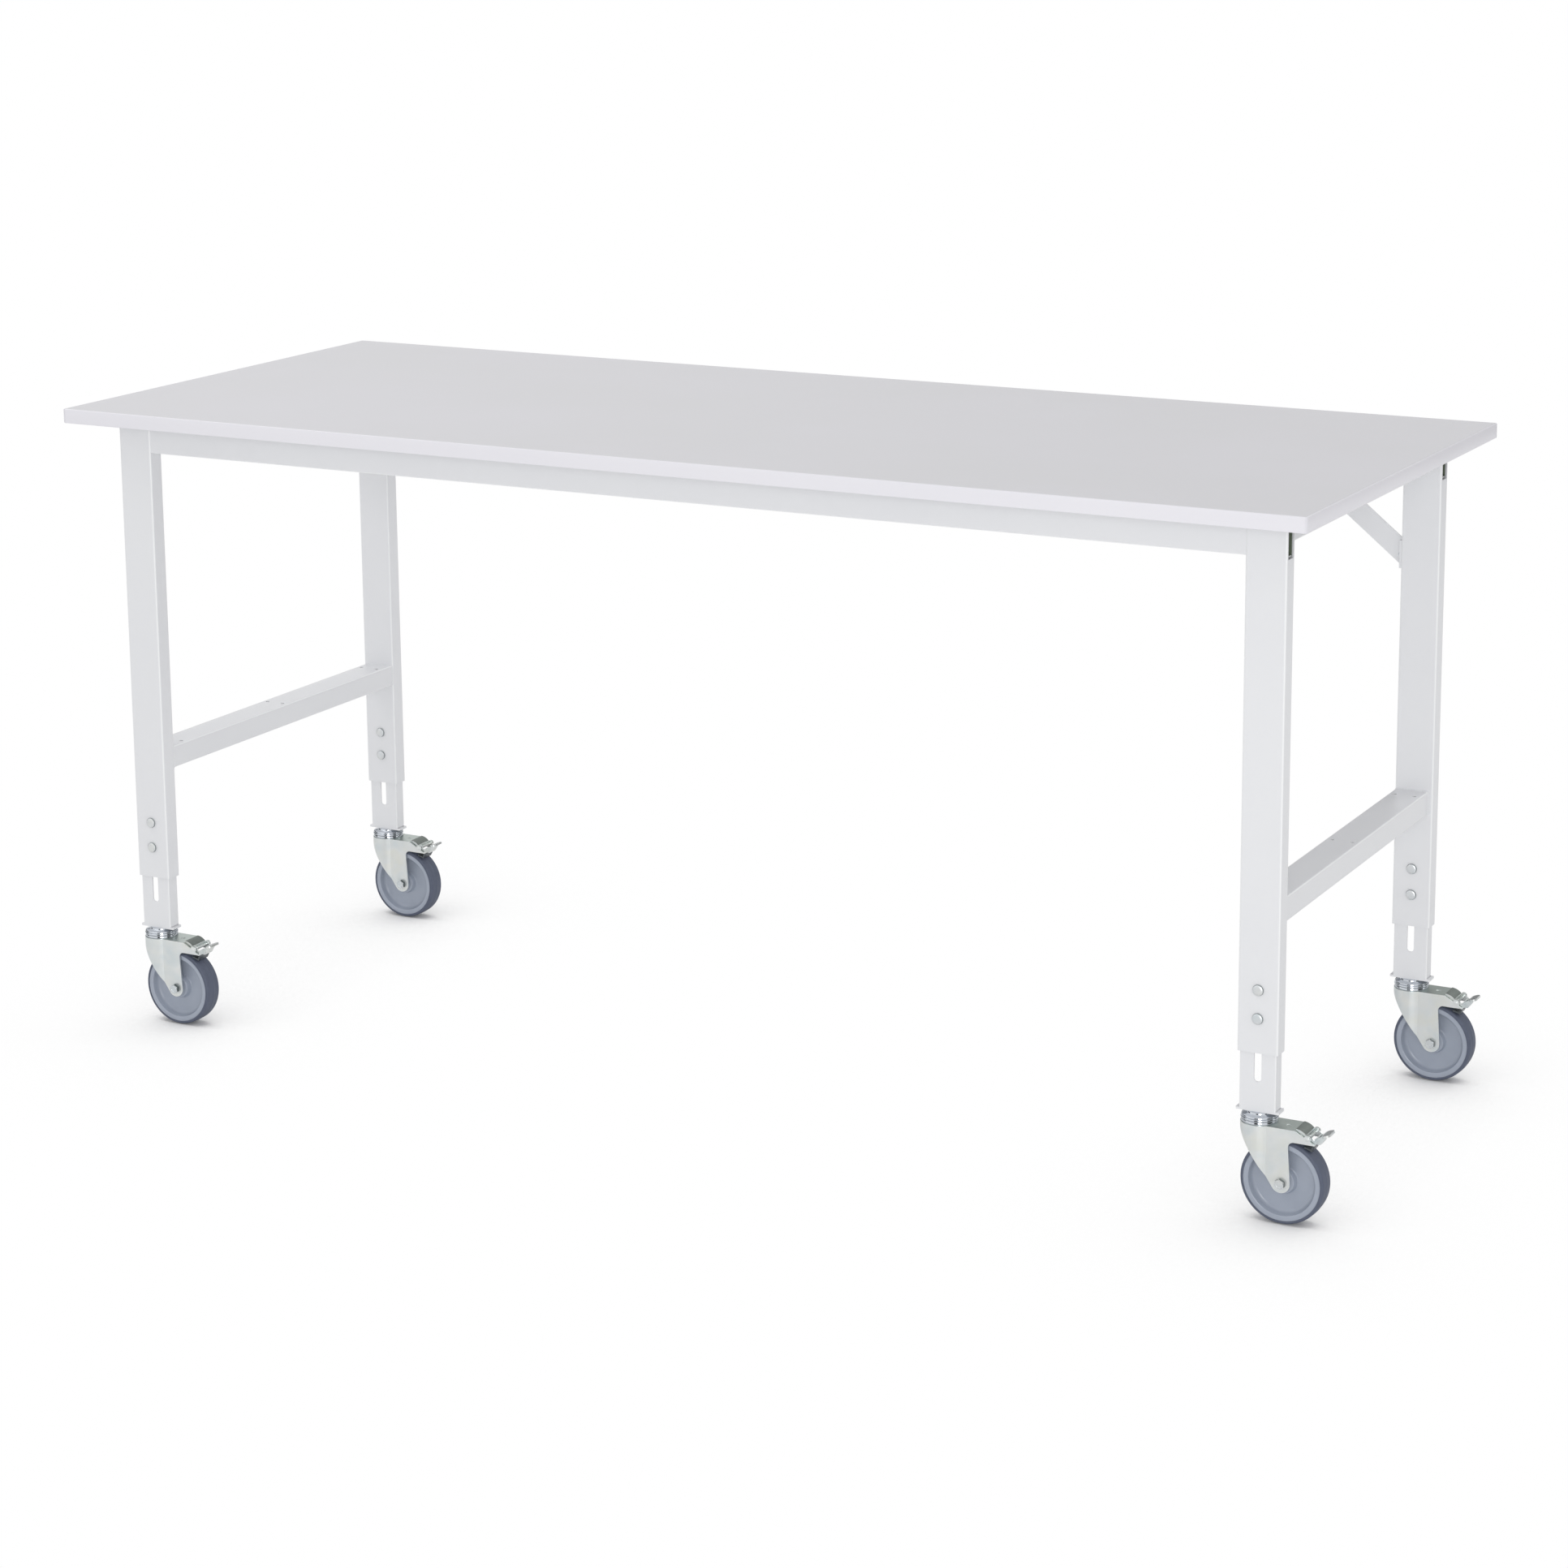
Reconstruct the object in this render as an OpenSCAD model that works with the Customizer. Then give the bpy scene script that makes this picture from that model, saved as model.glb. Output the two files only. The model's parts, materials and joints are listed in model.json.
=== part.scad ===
// Mobile work bench on four braked swivel castors, with telescopic legs that are clamped by bolts.
// Millimetres. The origin is on the floor under the middle of the worktop: X along the length,
// -Y towards the user, +Z up. Legs are named fl, fr, rl, rr: front or rear, left or right.

/* [Worktop] */
// Length of the worktop
top_l = 2000; // [1400:10:2600]
// Depth of the worktop
top_w = 800; // [620:10:1000]
// Thickness of the worktop
top_t = 22; // [16:1:40]
// Thickness of the edge band
band_t = 2; // [0.8:0.2:4]
// Radius of the worktop's vertical corners
top_corner_r = 4; // [2:0.5:12]

/* [Legs] */
// Width of the outer leg tube, along the worktop
leg_w = 58; // [50:1:80]
// Depth of the outer leg tube
leg_d = 28; // [26:1:50]
// Wall of the outer leg tube
leg_wall = 2; // [1.5:0.1:3]
// Length of the outer leg tube
leg_len = 727.5; // [620:0.5:900]
// Distance from the worktop's end to the leg
leg_inset_end = 51; // [30:1:150]
// Distance from the worktop's front edge to the leg
leg_inset_front = 69; // [30:1:150]
// Running gap between outer and inner leg on each side
slide_gap = 1; // [0.4:0.1:1.5]
// Wall of the inner leg channel
inner_wall = 2; // [1.5:0.1:3]
// Corner radius of the leg tubes
tube_r = 3; // [1:0.5:5]

/* [Height setting] */
// Length of the inner leg that shows below the outer tube
inner_out = 80.5; // [60:0.5:120]
// How much further the inner leg can come out
lift = 150; // [60:5:200]
// Length of the inner leg above the slot
inner_head = 60; // [30:5:120]
// Width of the slot in the inner leg
slot_w = 10.4; // [9:0.1:14]
// Height of the slot's lower end above the inner leg's end
slot_foot = 39.5; // [30:0.5:50]
// Height of the lower clamp bolt above the outer tube's end
bolt_up = 48.5; // [40:0.5:70]
// Distance between the two clamp bolts
bolt_pitch = 40; // [30:1:60]
// Diameter of the clamp bolt's shank
bolt_d = 8; // [6:0.5:10]
// Diameter of the clamp bolt's domed head
bolt_head_d = 16; // [14:0.5:20]
// Height of the clamp bolt's domed head
bolt_head_h = 4; // [3:0.5:6]

/* [Rails] */
// Height of the long rails under the worktop
rail_h = 50; // [40:1:80]
// Wall of the long rails
rail_wall = 2; // [1.5:0.1:3]
// Width of the rails that join front and rear legs
cross_w = 50; // [30:1:50]
// Height of the rails that join front and rear legs
cross_h = 35; // [25:1:50]
// Wall of the rails that join front and rear legs
cross_wall = 2; // [1.5:0.1:3]
// Distance from the leg's outer face to those rails
cross_inset = 7; // [0:0.5:8]
// Height of the lower crossbar above the outer tube's end
crossbar_up = 174; // [130:1:320]
// Diameter of the shelf holes in the lower crossbars
shelf_hole_d = 6; // [4:0.5:9]
// Distance between the two holes of a pair
shelf_hole_gap = 30; // [16:1:34]
// Distance from the crossbar's end to the outer pairs of shelf holes
shelf_hole_end = 33; // [24:1:120]

/* [Braces] */
// Width of the rear braces
brace_w = 32; // [20:1:45]
// Thickness of the brace steel
brace_t = 4; // [3:0.5:6]
// Depth of the flanges that the braces are screwed on with
brace_flange_d = 22; // [18:1:24]
// Length of the brace along the rail, from the leg to its outer corner
brace_run = 169; // [120:1:260]
// Drop of the brace along the leg, from the rail to its lower corner
brace_drop = 137; // [90:1:220]

/* [Castors] */
// Diameter of the wheels
wheel_d = 120; // [100:1:125]
// Width of the tyres
wheel_w = 32; // [26:1:34]
// Clearance between the tyre and the fork's crown
crown_gap = 15; // [12:0.5:22]
// Offset of the wheel behind the swivel axis
trail = 38; // [32:1:42]
// Thickness of the tyre
tyre_t = 4.5; // [3:0.5:8]
// Thickness of the fork's pressed steel
fork_t = 2.5; // [2:0.25:3]
// Radius of the swivel head
head_r = 26; // [24:0.5:28]
// Gap between the fork's legs
fork_gap = 35; // [34.5:0.5:42]
// Diameter of the axle
axle_d = 8; // [6:0.5:10]
// How far the fork's arms reach behind the axle
arm_back = 47; // [44:1:56]
// How far the brake's pivot lies behind the axle
pivot_back = 37; // [34:1:39]
// How far the brake pedal reaches behind the fork's arms
pedal_reach = 18; // [14:0.5:30]
// Travel of the brake pedal in degrees
pedal_travel = 14; // [6:1:16]
// Length of the foot plate that ends the inner leg
plate_l = 62; // [58:1:80]
// Depth of the foot plate
plate_d = 22; // [20:1:28]
// Thickness of the foot plate
plate_t = 3; // [2:0.5:6]

/* [Hidden] */
$fn = 64;
LEGS = ["fl", "fr", "rl", "rr"];
PER_LEG = ["outer_leg", "clamp_bolts", "inner_leg", "guide", "castor_head", "race", "fork", "axle",
           "brake_pin", "wheel", "tyre", "pedal"];

laminate = "#d5d5d7";
band_white = "#e6e6ea";
powder_coat = "#e4e5e8";
zinc = "#c4cac8";
bright_steel = "#d2d6da";
rim_grey = "#a7adba";
tyre_grey = "#5a6070";
guide_grey = "#6f7275";

// Swivel castor, in a frame on the floor under its swivel axis, with the wheel towards +X
wheel_r = wheel_d / 2;
crown_z = wheel_d + crown_gap + fork_t;
race_gap = 0.5;
lower_race_h = 4.5;
upper_race_h = 5.5;
race_dome_h = 2;
boss_h = 2;
boss_r = head_r - 9;
castor_h = crown_z + lower_race_h + race_gap + upper_race_h + race_dome_h + boss_h;
king_r = 7;
king_head_r = 10.5;
king_head_h = 3;
stud_r = 5;
stud_up = 11;
nut_af_m10 = 17;
nut_h_m10 = 8;
swivel_gap = 0.1;
fork_w = fork_gap + 2 * fork_t;
fork_end_r = 13.5;
fork_back_x = trail + 10;
nose_lip = 5.5;
arm_x = trail + arm_back;
arm_h = 17;
arm_low_z = crown_z - arm_h;
arm_tip_h = 1.5;
arm_fillet = 8;
slope_x = trail + 19;
dimple_x = slope_x - 15;
dimple_r = 3.5;
dimple_h = 1.2;
pivot = [trail + pivot_back, crown_z - 9];
lug_r = 5;
brake_pin_r = 2.5;
pin_head_r = 4;
pin_head_t = 1.2;
axle_head_h = 5.3;
shoe_gap = 0.4;
hub_gap = 0.3;
cheek_gap = 1.1;
cheek_t = 2;
cheek_r = 5;
cover_rise = 2;
cover_r = 20;
cover_t = 2;
cover_gap = 0.6;
flange_h = 4.5;
tongue_w = 24;
tongue_l = 11;
tongue_t = 2.2;
rim_step = 0.7;
hub_wall = 5;
hub_boss_r = 17;
rim_land = 7;
rim_slope = 2.5;
web_half = 3.5;
web_fillet = 4;
tread_l = 12;
tread_w = 26;
tread_t = 3;
tread_tilt = 18;
lever_w = 17;
lever_t = 2;

// Heights, from the floor up
inner_z = castor_h + plate_t;
outer_z = inner_z + inner_out;
under_z = outer_z + leg_len;
top_z = under_z + top_t;
rail_z = under_z - rail_h;
bar_z = outer_z + crossbar_up;

// Middle of a leg
leg_x = top_l / 2 - leg_inset_end - leg_w / 2;
leg_y = top_w / 2 - leg_inset_front - leg_d / 2;
rail_d = leg_d - 2 * leg_wall;
inner_w = leg_w - 2 * leg_wall - 2 * slide_gap;
inner_d = leg_d - 2 * leg_wall - 2 * slide_gap;
cross_x = leg_x + leg_w / 2 - cross_inset - cross_w / 2;
cross_len = 2 * leg_y - leg_d;

// The slot lets the inner leg come out by the lift before it meets the upper bolt
slot_low = slot_foot + slot_w / 2;
slot_high = inner_out + bolt_up + bolt_pitch + lift + slot_w / 2;
inner_len = slot_high + inner_head;
bolt_z = [outer_z + bolt_up, outer_z + bolt_up + bolt_pitch];
window_drop = 2;
rail_end_gap = 1.2;
guide_gap = 0.3;
nut_af_m8 = 13;
nut_h_m8 = 6.5;
washer_t = 1.6;
screw_end = 48;
screw_head_h = 2.4;

// The corner between rear leg and rear rail: how far the brace's inner edge stands off along each
brace_angle = atan2(brace_drop, brace_run);
inner_run = brace_run - brace_w / sin(brace_angle);
inner_drop = brace_drop - brace_w / cos(brace_angle);

function hex_r(across_flats) = across_flats / 2 / cos(30);
function turned(p, c, a) = let (d = p - c)
    c + [d[0] * cos(a) - d[1] * sin(a), d[0] * sin(a) + d[1] * cos(a)];
// The point where a line from p touches a circle; side is 1 or -1
function touch(p, c, r, side) = let (d = c - p, far = norm(d), a = atan2(d[1], d[0]) + side * asin(r / far))
    p + sqrt(far * far - r * r) * [cos(a), sin(a)];
function side_x(leg) = leg[1] == "l" ? -1 : 1;
function side_y(leg) = leg[0] == "f" ? -1 : 1;

module at_leg(leg) {
    translate([side_x(leg) * leg_x, side_y(leg) * leg_y, 0]) children();
}

module rounded(l, w, r) {
    square([l - 2 * r, w], center = true);
    square([l, w - 2 * r], center = true);
    for (x = [-1, 1], y = [-1, 1])
        translate([x * (l / 2 - r), y * (w / 2 - r)]) circle(r);
}

module tube_profile(w, d, wall, r) {
    difference() {
        rounded(w, d, r);
        rounded(w - 2 * wall, d - 2 * wall, max(r - wall, 0.5));
    }
}

// A cylinder along +Y from y0 to y1, in the XZ plane at p
module across(p, r, y0, y1, sides = 64) {
    translate([p[0], y0, p[1]]) rotate([-90, 0, 0]) cylinder(h = y1 - y0, r = r, $fn = sides);
}

// An XZ outline extruded along Y, w wide, about y
module slab(w, y = 0) {
    translate([0, y + w / 2, 0]) rotate([90, 0, 0]) linear_extrude(w) children();
}

// Worktop
module worktop() {
    color(laminate)
        translate([0, 0, under_z])
            linear_extrude(top_t)
                rounded(top_l - 2 * band_t, top_w - 2 * band_t, top_corner_r - band_t / 2);
}

module edge_band() {
    color(band_white)
        translate([0, 0, under_z])
            linear_extrude(top_t) difference() {
                rounded(top_l, top_w, top_corner_r);
                rounded(top_l - 2 * band_t, top_w - 2 * band_t, top_corner_r - band_t / 2);
            }
}

// The long rails run through the inner walls of the legs and end behind a window in the outer walls
module long_rail(y) {
    rail_len = 2 * (leg_x + leg_w / 2 - leg_wall - rail_end_gap);
    color(powder_coat)
        translate([-rail_len / 2, y, rail_z + rail_h / 2])
            rotate([90, 0, 90])
                linear_extrude(rail_len)
                    tube_profile(rail_d, rail_h, rail_wall, tube_r - 1);
}

module top_cross(side) {
    color(powder_coat) cross_tube(side, under_z - cross_h);
}

module crossbar(side) {
    pair_y = cross_len / 2 - shelf_hole_end;
    color(powder_coat) difference() {
        cross_tube(side, bar_z);
        for (x = [-1, 1], y = [-1, 0, 1])
            translate([side * cross_x + x * shelf_hole_gap / 2, y * pair_y, bar_z + cross_h / 2])
                cylinder(h = cross_h, d = shelf_hole_d);
    }
}

module cross_tube(side, z) {
    translate([side * cross_x, cross_len / 2, z + cross_h / 2])
        rotate([90, 0, 0])
            linear_extrude(cross_len)
                tube_profile(cross_w, cross_h, cross_wall, tube_r);
}

// Children made for the right-hand end, put at either end
module at_end(side) {
    if (side < 0) mirror([1, 0, 0]) children();
    else children();
}

// Brace between rear leg and rear rail: a flat strap with a flange at each end
module brace(side) {
    color(powder_coat) at_end(side) translate([leg_x - leg_w / 2, leg_y, rail_z]) {
        slab(brace_t)
            polygon([[-brace_run, 0], [-inner_run, 0], [0, -inner_drop], [0, -brace_drop]]);
        translate([-brace_t, -brace_flange_d / 2, -brace_drop])
            cube([brace_t, brace_flange_d, brace_drop - inner_drop]);
        translate([-brace_run, -brace_flange_d / 2, -brace_t])
            cube([brace_run - inner_run, brace_flange_d, brace_t]);
    }
}

// Screws through the brace flanges and up through the top cross rails into the worktop
module frame_screws() {
    flange_y = leg_y - (brace_t + brace_flange_d) / 4;
    screw_y = cross_len / 2 - screw_end;
    color(zinc) for (side = [-1, 1]) at_end(side) {
        for (y = [-1, 0, 1])
            translate([cross_x, y * screw_y, under_z - cross_h]) mirror([0, 0, 1]) button(9, screw_head_h);
        translate([leg_x - leg_w / 2 - brace_t, flange_y, rail_z - (brace_drop + inner_drop) / 2])
            rotate([0, -90, 0]) button(7, screw_head_h);
        translate([leg_x - leg_w / 2 - (brace_run + inner_run) / 2, flange_y, rail_z - brace_t])
            mirror([0, 0, 1]) button(7, screw_head_h);
    }
}

module button(d, h) {
    cylinder(h = h * 0.4, d = d);
    translate([0, 0, h * 0.4]) cylinder(h = h * 0.6, d1 = d, d2 = d * 0.6);
}

// Outer leg tube with the windows that its rail needs and the holes for its clamp bolts
module outer_leg(leg) {
    out = side_x(leg);
    color(powder_coat) at_leg(leg) difference() {
        translate([0, 0, outer_z]) linear_extrude(leg_len) tube_profile(leg_w, leg_d, leg_wall, tube_r);
        translate([out > 0 ? -leg_w : 0, -rail_d / 2, rail_z]) cube([leg_w, rail_d, rail_h]);
        translate([out > 0 ? 0 : -leg_w, rail_wall - rail_d / 2, rail_z - window_drop])
            cube([leg_w, rail_d - 2 * rail_wall, rail_h + window_drop]);
        for (z = bolt_z) across([0, z], bolt_d / 2, -leg_d, leg_d);
    }
}

// Two domed bolts through both tubes, with washers and nuts behind
module clamp_bolts(leg) {
    color(bright_steel) at_leg(leg) for (z = bolt_z) {
        translate([0, -leg_d / 2, z]) rotate([90, 0, 0]) dome(bolt_head_d, bolt_head_h);
        across([0, z], bolt_d / 2, -leg_d / 2, leg_d / 2 + washer_t + nut_h_m8 + 2);
        across([0, z], bolt_d, leg_d / 2, leg_d / 2 + washer_t);
        across([0, z], hex_r(nut_af_m8), leg_d / 2 + washer_t, leg_d / 2 + washer_t + nut_h_m8, 6);
    }
}

// A low dome on a short cylindrical rim
module dome(d, h) {
    rim = 1;
    bulge = (d * d / 4 + (h - rim) * (h - rim)) / (2 * (h - rim));
    cylinder(h = rim, d = d);
    intersection() {
        translate([0, 0, h - bulge]) sphere(bulge);
        translate([0, 0, rim]) cylinder(h = h, d = d);
    }
}

// Inner leg: a channel, open at the back, with its slot, welded on a foot plate
module inner_leg(leg) {
    color(powder_coat) at_leg(leg) translate([0, 0, inner_z]) {
        difference() {
            linear_extrude(inner_len) difference() {
                tube_profile(inner_w, inner_d, inner_wall, tube_r - leg_wall / 2);
                translate([inner_wall - inner_w / 2, 0]) square([inner_w - 2 * inner_wall, inner_d]);
            }
            across([0, slot_low], slot_w / 2, -leg_d, 0);
            across([0, slot_high], slot_w / 2, -leg_d, 0);
            translate([-slot_w / 2, -leg_d, slot_low]) cube([slot_w, leg_d, slot_high - slot_low]);
        }
        translate([0, 0, -plate_t]) difference() {
            linear_extrude(plate_t) rounded(plate_l, plate_d, 2);
            translate([0, 0, -1]) cylinder(h = plate_t + 2, r = stud_r);
        }
    }
}

// Plastic plug in the top of the inner leg, whose head guides it inside the outer tube
module guide(leg) {
    plug_len = 20;
    head_len = 10;
    spread = 2 * (slide_gap - guide_gap);
    color(guide_grey) at_leg(leg) translate([0, 0, inner_z + inner_len]) {
        linear_extrude(head_len) rounded(inner_w + spread, inner_d + spread, 1.5);
        translate([0, inner_wall / 2, -plug_len]) linear_extrude(plug_len)
            rounded(inner_w - 2 * inner_wall, inner_d - inner_wall, 1);
    }
}

// Upper half of the swivel: domed race, stud and nut above, king pin and its rivet head below
module castor_head(leg) {
    race_z = crown_z + lower_race_h + race_gap;
    dome_z = race_z + upper_race_h;
    king_z = crown_z - fork_t - race_gap;
    edge = upper_race_h / 2;
    color(bright_steel) at_leg(leg) {
        translate([0, 0, race_z]) rotate_extrude() {
            square([head_r - edge, upper_race_h]);
            translate([head_r - edge, edge]) circle(edge);
        }
        translate([0, 0, dome_z]) cylinder(h = race_dome_h, r1 = head_r - edge, r2 = boss_r);
        translate([0, 0, dome_z + race_dome_h]) cylinder(h = boss_h, r = boss_r);
        translate([0, 0, castor_h]) cylinder(h = plate_t + stud_up, r = stud_r);
        translate([0, 0, inner_z]) cylinder(h = nut_h_m10, r = hex_r(nut_af_m10), $fn = 6);
        translate([0, 0, king_z]) cylinder(h = race_z - king_z, r = king_r);
        translate([0, 0, king_z - king_head_h]) cylinder(h = king_head_h, r1 = king_r, r2 = king_head_r);
    }
}

// Lower race, pressed on the fork's crown
module race(leg) {
    edge = lower_race_h / 2;
    color(bright_steel) at_leg(leg) translate([0, 0, crown_z]) rotate_extrude() {
        translate([king_r + swivel_gap, 0]) square([head_r - 0.5 - edge - king_r - swivel_gap, lower_race_h]);
        translate([head_r - 0.5 - edge, edge]) circle(edge);
    }
}

// Fork: side outline in XZ
module fork_side() {
    axle_at = [trail, wheel_r];
    nose = [-head_r, crown_z - nose_lip];
    back = [fork_back_x, arm_low_z - arm_fillet];
    front_touch = touch(nose, axle_at, fork_end_r, -1);
    back_touch = touch(back, axle_at, fork_end_r, 1);
    polygon([[-head_r, crown_z], nose, front_touch, axle_at, back_touch, back,
             [fork_back_x, crown_z]]);
    translate(axle_at) circle(fork_end_r);
    translate([fork_back_x, arm_low_z - arm_fillet]) difference() {
        square(arm_fillet);
        translate([arm_fillet, 0]) circle(arm_fillet);
    }
    polygon([[fork_back_x, arm_low_z], [fork_back_x, crown_z], [slope_x, crown_z],
             [arm_x, arm_low_z + arm_tip_h], [arm_x, arm_low_z]]);
    translate(pivot) circle(lug_r);
}

// Fork: outline in plan, for a given nose radius and width
module fork_plan(r, w) {
    circle(r);
    translate([0, -w / 2]) square([arm_x, w]);
}

// Pressed fork: round nose, two legs, flat crown, and arms with lugs that carry the brake
module fork(leg) {
    color(zinc) at_leg(leg) difference() {
        union() {
            intersection() {
                linear_extrude(crown_z) difference() {
                    fork_plan(head_r, fork_w);
                    fork_plan(head_r - fork_t, fork_gap);
                }
                slab(3 * head_r) fork_side();
            }
            intersection() {
                linear_extrude(crown_z) fork_plan(head_r - fork_t / 2, fork_w - fork_t);
                translate([-head_r, -head_r, crown_z - fork_t]) cube([head_r + slope_x, 2 * head_r, fork_t]);
            }
        }
        translate([dimple_x, 0, crown_z - dimple_h])
            cylinder(h = dimple_h, r1 = dimple_r - dimple_h, r2 = dimple_r);
        translate([0, 0, crown_z - 2 * fork_t]) cylinder(h = 3 * fork_t, r = king_r + swivel_gap);
        across([trail, wheel_r], axle_d / 2, -fork_w, fork_w);
        across(pivot, brake_pin_r, -fork_w, fork_w);
    }
}

// Axle bolt: hex head on the user's side, nut behind
module axle(leg) {
    color(zinc) at_leg(leg) {
        across([trail, wheel_r], axle_d / 2, -fork_w / 2, fork_w / 2 + nut_h_m8 + 1.5);
        across([trail, wheel_r], hex_r(nut_af_m8), -fork_w / 2 - axle_head_h, -fork_w / 2, 6);
        across([trail, wheel_r], hex_r(nut_af_m8), fork_w / 2, fork_w / 2 + nut_h_m8, 6);
    }
}

module brake_pin(leg) {
    color(zinc) at_leg(leg) {
        across(pivot, brake_pin_r, -fork_w / 2, fork_w / 2);
        for (y = [-fork_w / 2 - pin_head_t, fork_w / 2])
            across(pivot, pin_head_r, y, y + pin_head_t);
    }
}

// Wheel body: a deep rim, a thin web in its middle and a stepped hub
module wheel(leg) {
    rim_r = wheel_r - tyre_t;
    face = wheel_w / 2 - rim_step;
    foot = rim_r - rim_land - rim_slope;
    hub = fork_gap / 2 - hub_gap;
    bore = axle_d / 2 + swivel_gap;
    half = [[bore, hub], [bore + hub_wall, hub], [bore + hub_wall + 1, face - 2], [hub_boss_r, face - 3],
            [hub_boss_r + 2, web_half], [foot - web_fillet, web_half],
            [foot - web_fillet / 3, web_half + web_fillet / 3], [foot, web_half + web_fillet],
            [rim_r - rim_land - 1, face - 1], [rim_r - rim_land, face], [rim_r, face]];
    other = [for (i = [len(half) - 1:-1:0]) [half[i][0], -half[i][1]]];
    color(rim_grey) at_leg(leg) translate([trail, 0, wheel_r]) rotate([90, 0, 0])
        rotate_extrude() polygon(concat(half, other));
}

module tyre(leg) {
    color(tyre_grey) at_leg(leg) translate([trail, 0, wheel_r]) rotate([90, 0, 0])
        rotate_extrude($fn = 128) intersection() {
            translate([wheel_r - tyre_t, -wheel_w / 2]) square([tyre_t, wheel_w]);
            translate([wheel_r / 2, 0]) rounded(wheel_r, wheel_w, tyre_t - 0.5);
        }
}

// Brake pedal: section of its cover, or of the flanges below that
module cover_side(depth) {
    intersection() {
        translate([slope_x, crown_z + cover_rise - cover_r]) difference() {
            circle(cover_r);
            circle(cover_r - depth);
        }
        translate([slope_x + cover_gap, pivot[1] - 2])
            square([pivot[0] - slope_x - cover_gap - brake_pin_r - shoe_gap, cover_r]);
    }
}

// Rocking brake pedal: a cover to release it in front of the pin, a tongue that grips the tyre, and
// behind the pin a trough that carries the tread to press it
module pedal(leg) {
    cheek_y = fork_gap / 2 - cheek_gap - cheek_t / 2;
    back_x = arm_x - 1;
    plate_low = arm_low_z - 2.5;
    plate_top = arm_low_z + 6;
    tread_x = arm_x + pedal_reach - tread_l / 2;
    tread_z = crown_z - tread_t;
    heel = [back_x + 6, plate_low + 1.5];
    toe = [tread_x + 1, tread_z - tread_t];
    // The tongue follows the tyre's circle as it stands to the pedal when that is fully down
    tyre_then = turned([trail, wheel_r], pivot, pedal_travel);
    grip_x = pivot[0] + 4;
    grip = [grip_x, tyre_then[1] + sqrt(pow(wheel_r + shoe_gap + 0.2, 2) - pow(grip_x - tyre_then[0], 2))];
    color(zinc) at_leg(leg) {
        slab(2 * cheek_y + cheek_t) cover_side(cover_t);
        for (y = [-cheek_y, cheek_y]) difference() {
            slab(cheek_t, y) {
                cover_side(flange_h);
                translate(pivot) circle(cheek_r);
                polygon([pivot + [-1, cheek_r - 0.1], pivot + [-1, 0.1 - cheek_r], [back_x, plate_low],
                         [back_x, plate_top]]);
            }
            across(pivot, brake_pin_r + swivel_gap, -fork_w, fork_w);
        }
        translate([back_x - cheek_t, -cheek_y, plate_low])
            cube([cheek_t, 2 * cheek_y, plate_top - plate_low]);
        slab(tongue_w) {
            intersection() {
                translate(tyre_then) difference() {
                    circle(wheel_r + shoe_gap + tongue_t, $fn = 128);
                    circle(wheel_r + shoe_gap, $fn = 128);
                }
                translate([grip_x - tongue_l, wheel_r]) square([tongue_l, wheel_r]);
            }
            polygon([grip, grip + [-tongue_t, tongue_t / 2], [back_x - cheek_t, plate_low + 2],
                     [back_x, plate_low + 2], [back_x, plate_low]]);
        }
        for (y = [-1, 1])
            slab(lever_t, y * (lever_w - lever_t) / 2)
                polygon([[back_x - 1, plate_low], heel, toe, toe + [-3, 2], [back_x - 1, plate_top]]);
        slab(lever_w)
            polygon([[back_x - 1, plate_low], heel, toe, toe + [-1.6, 1.4], heel + [-0.8, lever_t],
                     [back_x - 1, plate_low + lever_t]]);
        translate([tread_x, 0, tread_z]) rotate([0, -tread_tilt, 0]) translate([0, 0, -tread_t])
            linear_extrude(tread_t) rounded(tread_l, tread_w, tread_l / 2 - 0.5);
    }
}

worktop();
edge_band();
long_rail(-leg_y);  // front_rail
long_rail(leg_y);  // rear_rail
top_cross(-1);  // top_cross_left
top_cross(1);  // top_cross_right
crossbar(-1);  // crossbar_left
crossbar(1);  // crossbar_right
brace(-1);  // brace_left
brace(1);  // brace_right
frame_screws();
for (leg = LEGS) {
    outer_leg(leg);
    clamp_bolts(leg);
    inner_leg(leg);
    guide(leg);
    castor_head(leg);
    race(leg);
    fork(leg);
    axle(leg);
    brake_pin(leg);
    wheel(leg);
    tyre(leg);
    pedal(leg);
}
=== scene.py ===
"""Mobile work table on four braked swivel castors: its finishes and fine shapes."""
import json
import math

import bpy
from mathutils import Matrix, Vector


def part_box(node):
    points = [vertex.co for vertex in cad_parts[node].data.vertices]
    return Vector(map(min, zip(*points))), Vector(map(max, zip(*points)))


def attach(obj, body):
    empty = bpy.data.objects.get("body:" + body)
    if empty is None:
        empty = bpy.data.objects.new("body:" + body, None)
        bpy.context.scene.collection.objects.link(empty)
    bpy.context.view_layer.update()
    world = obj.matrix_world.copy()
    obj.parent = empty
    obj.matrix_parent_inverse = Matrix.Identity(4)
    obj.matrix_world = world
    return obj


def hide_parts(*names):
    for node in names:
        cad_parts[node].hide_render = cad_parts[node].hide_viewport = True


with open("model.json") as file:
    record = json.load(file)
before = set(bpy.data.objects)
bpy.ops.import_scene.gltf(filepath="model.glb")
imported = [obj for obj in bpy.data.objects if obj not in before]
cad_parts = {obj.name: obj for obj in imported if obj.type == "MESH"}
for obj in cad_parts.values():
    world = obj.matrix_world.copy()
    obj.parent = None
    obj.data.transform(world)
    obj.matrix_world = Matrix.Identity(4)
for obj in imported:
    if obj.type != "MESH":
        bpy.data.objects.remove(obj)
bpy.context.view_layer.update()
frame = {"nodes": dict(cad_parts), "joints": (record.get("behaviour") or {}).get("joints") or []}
nodes = frame["nodes"]
mm = 0.001

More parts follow.
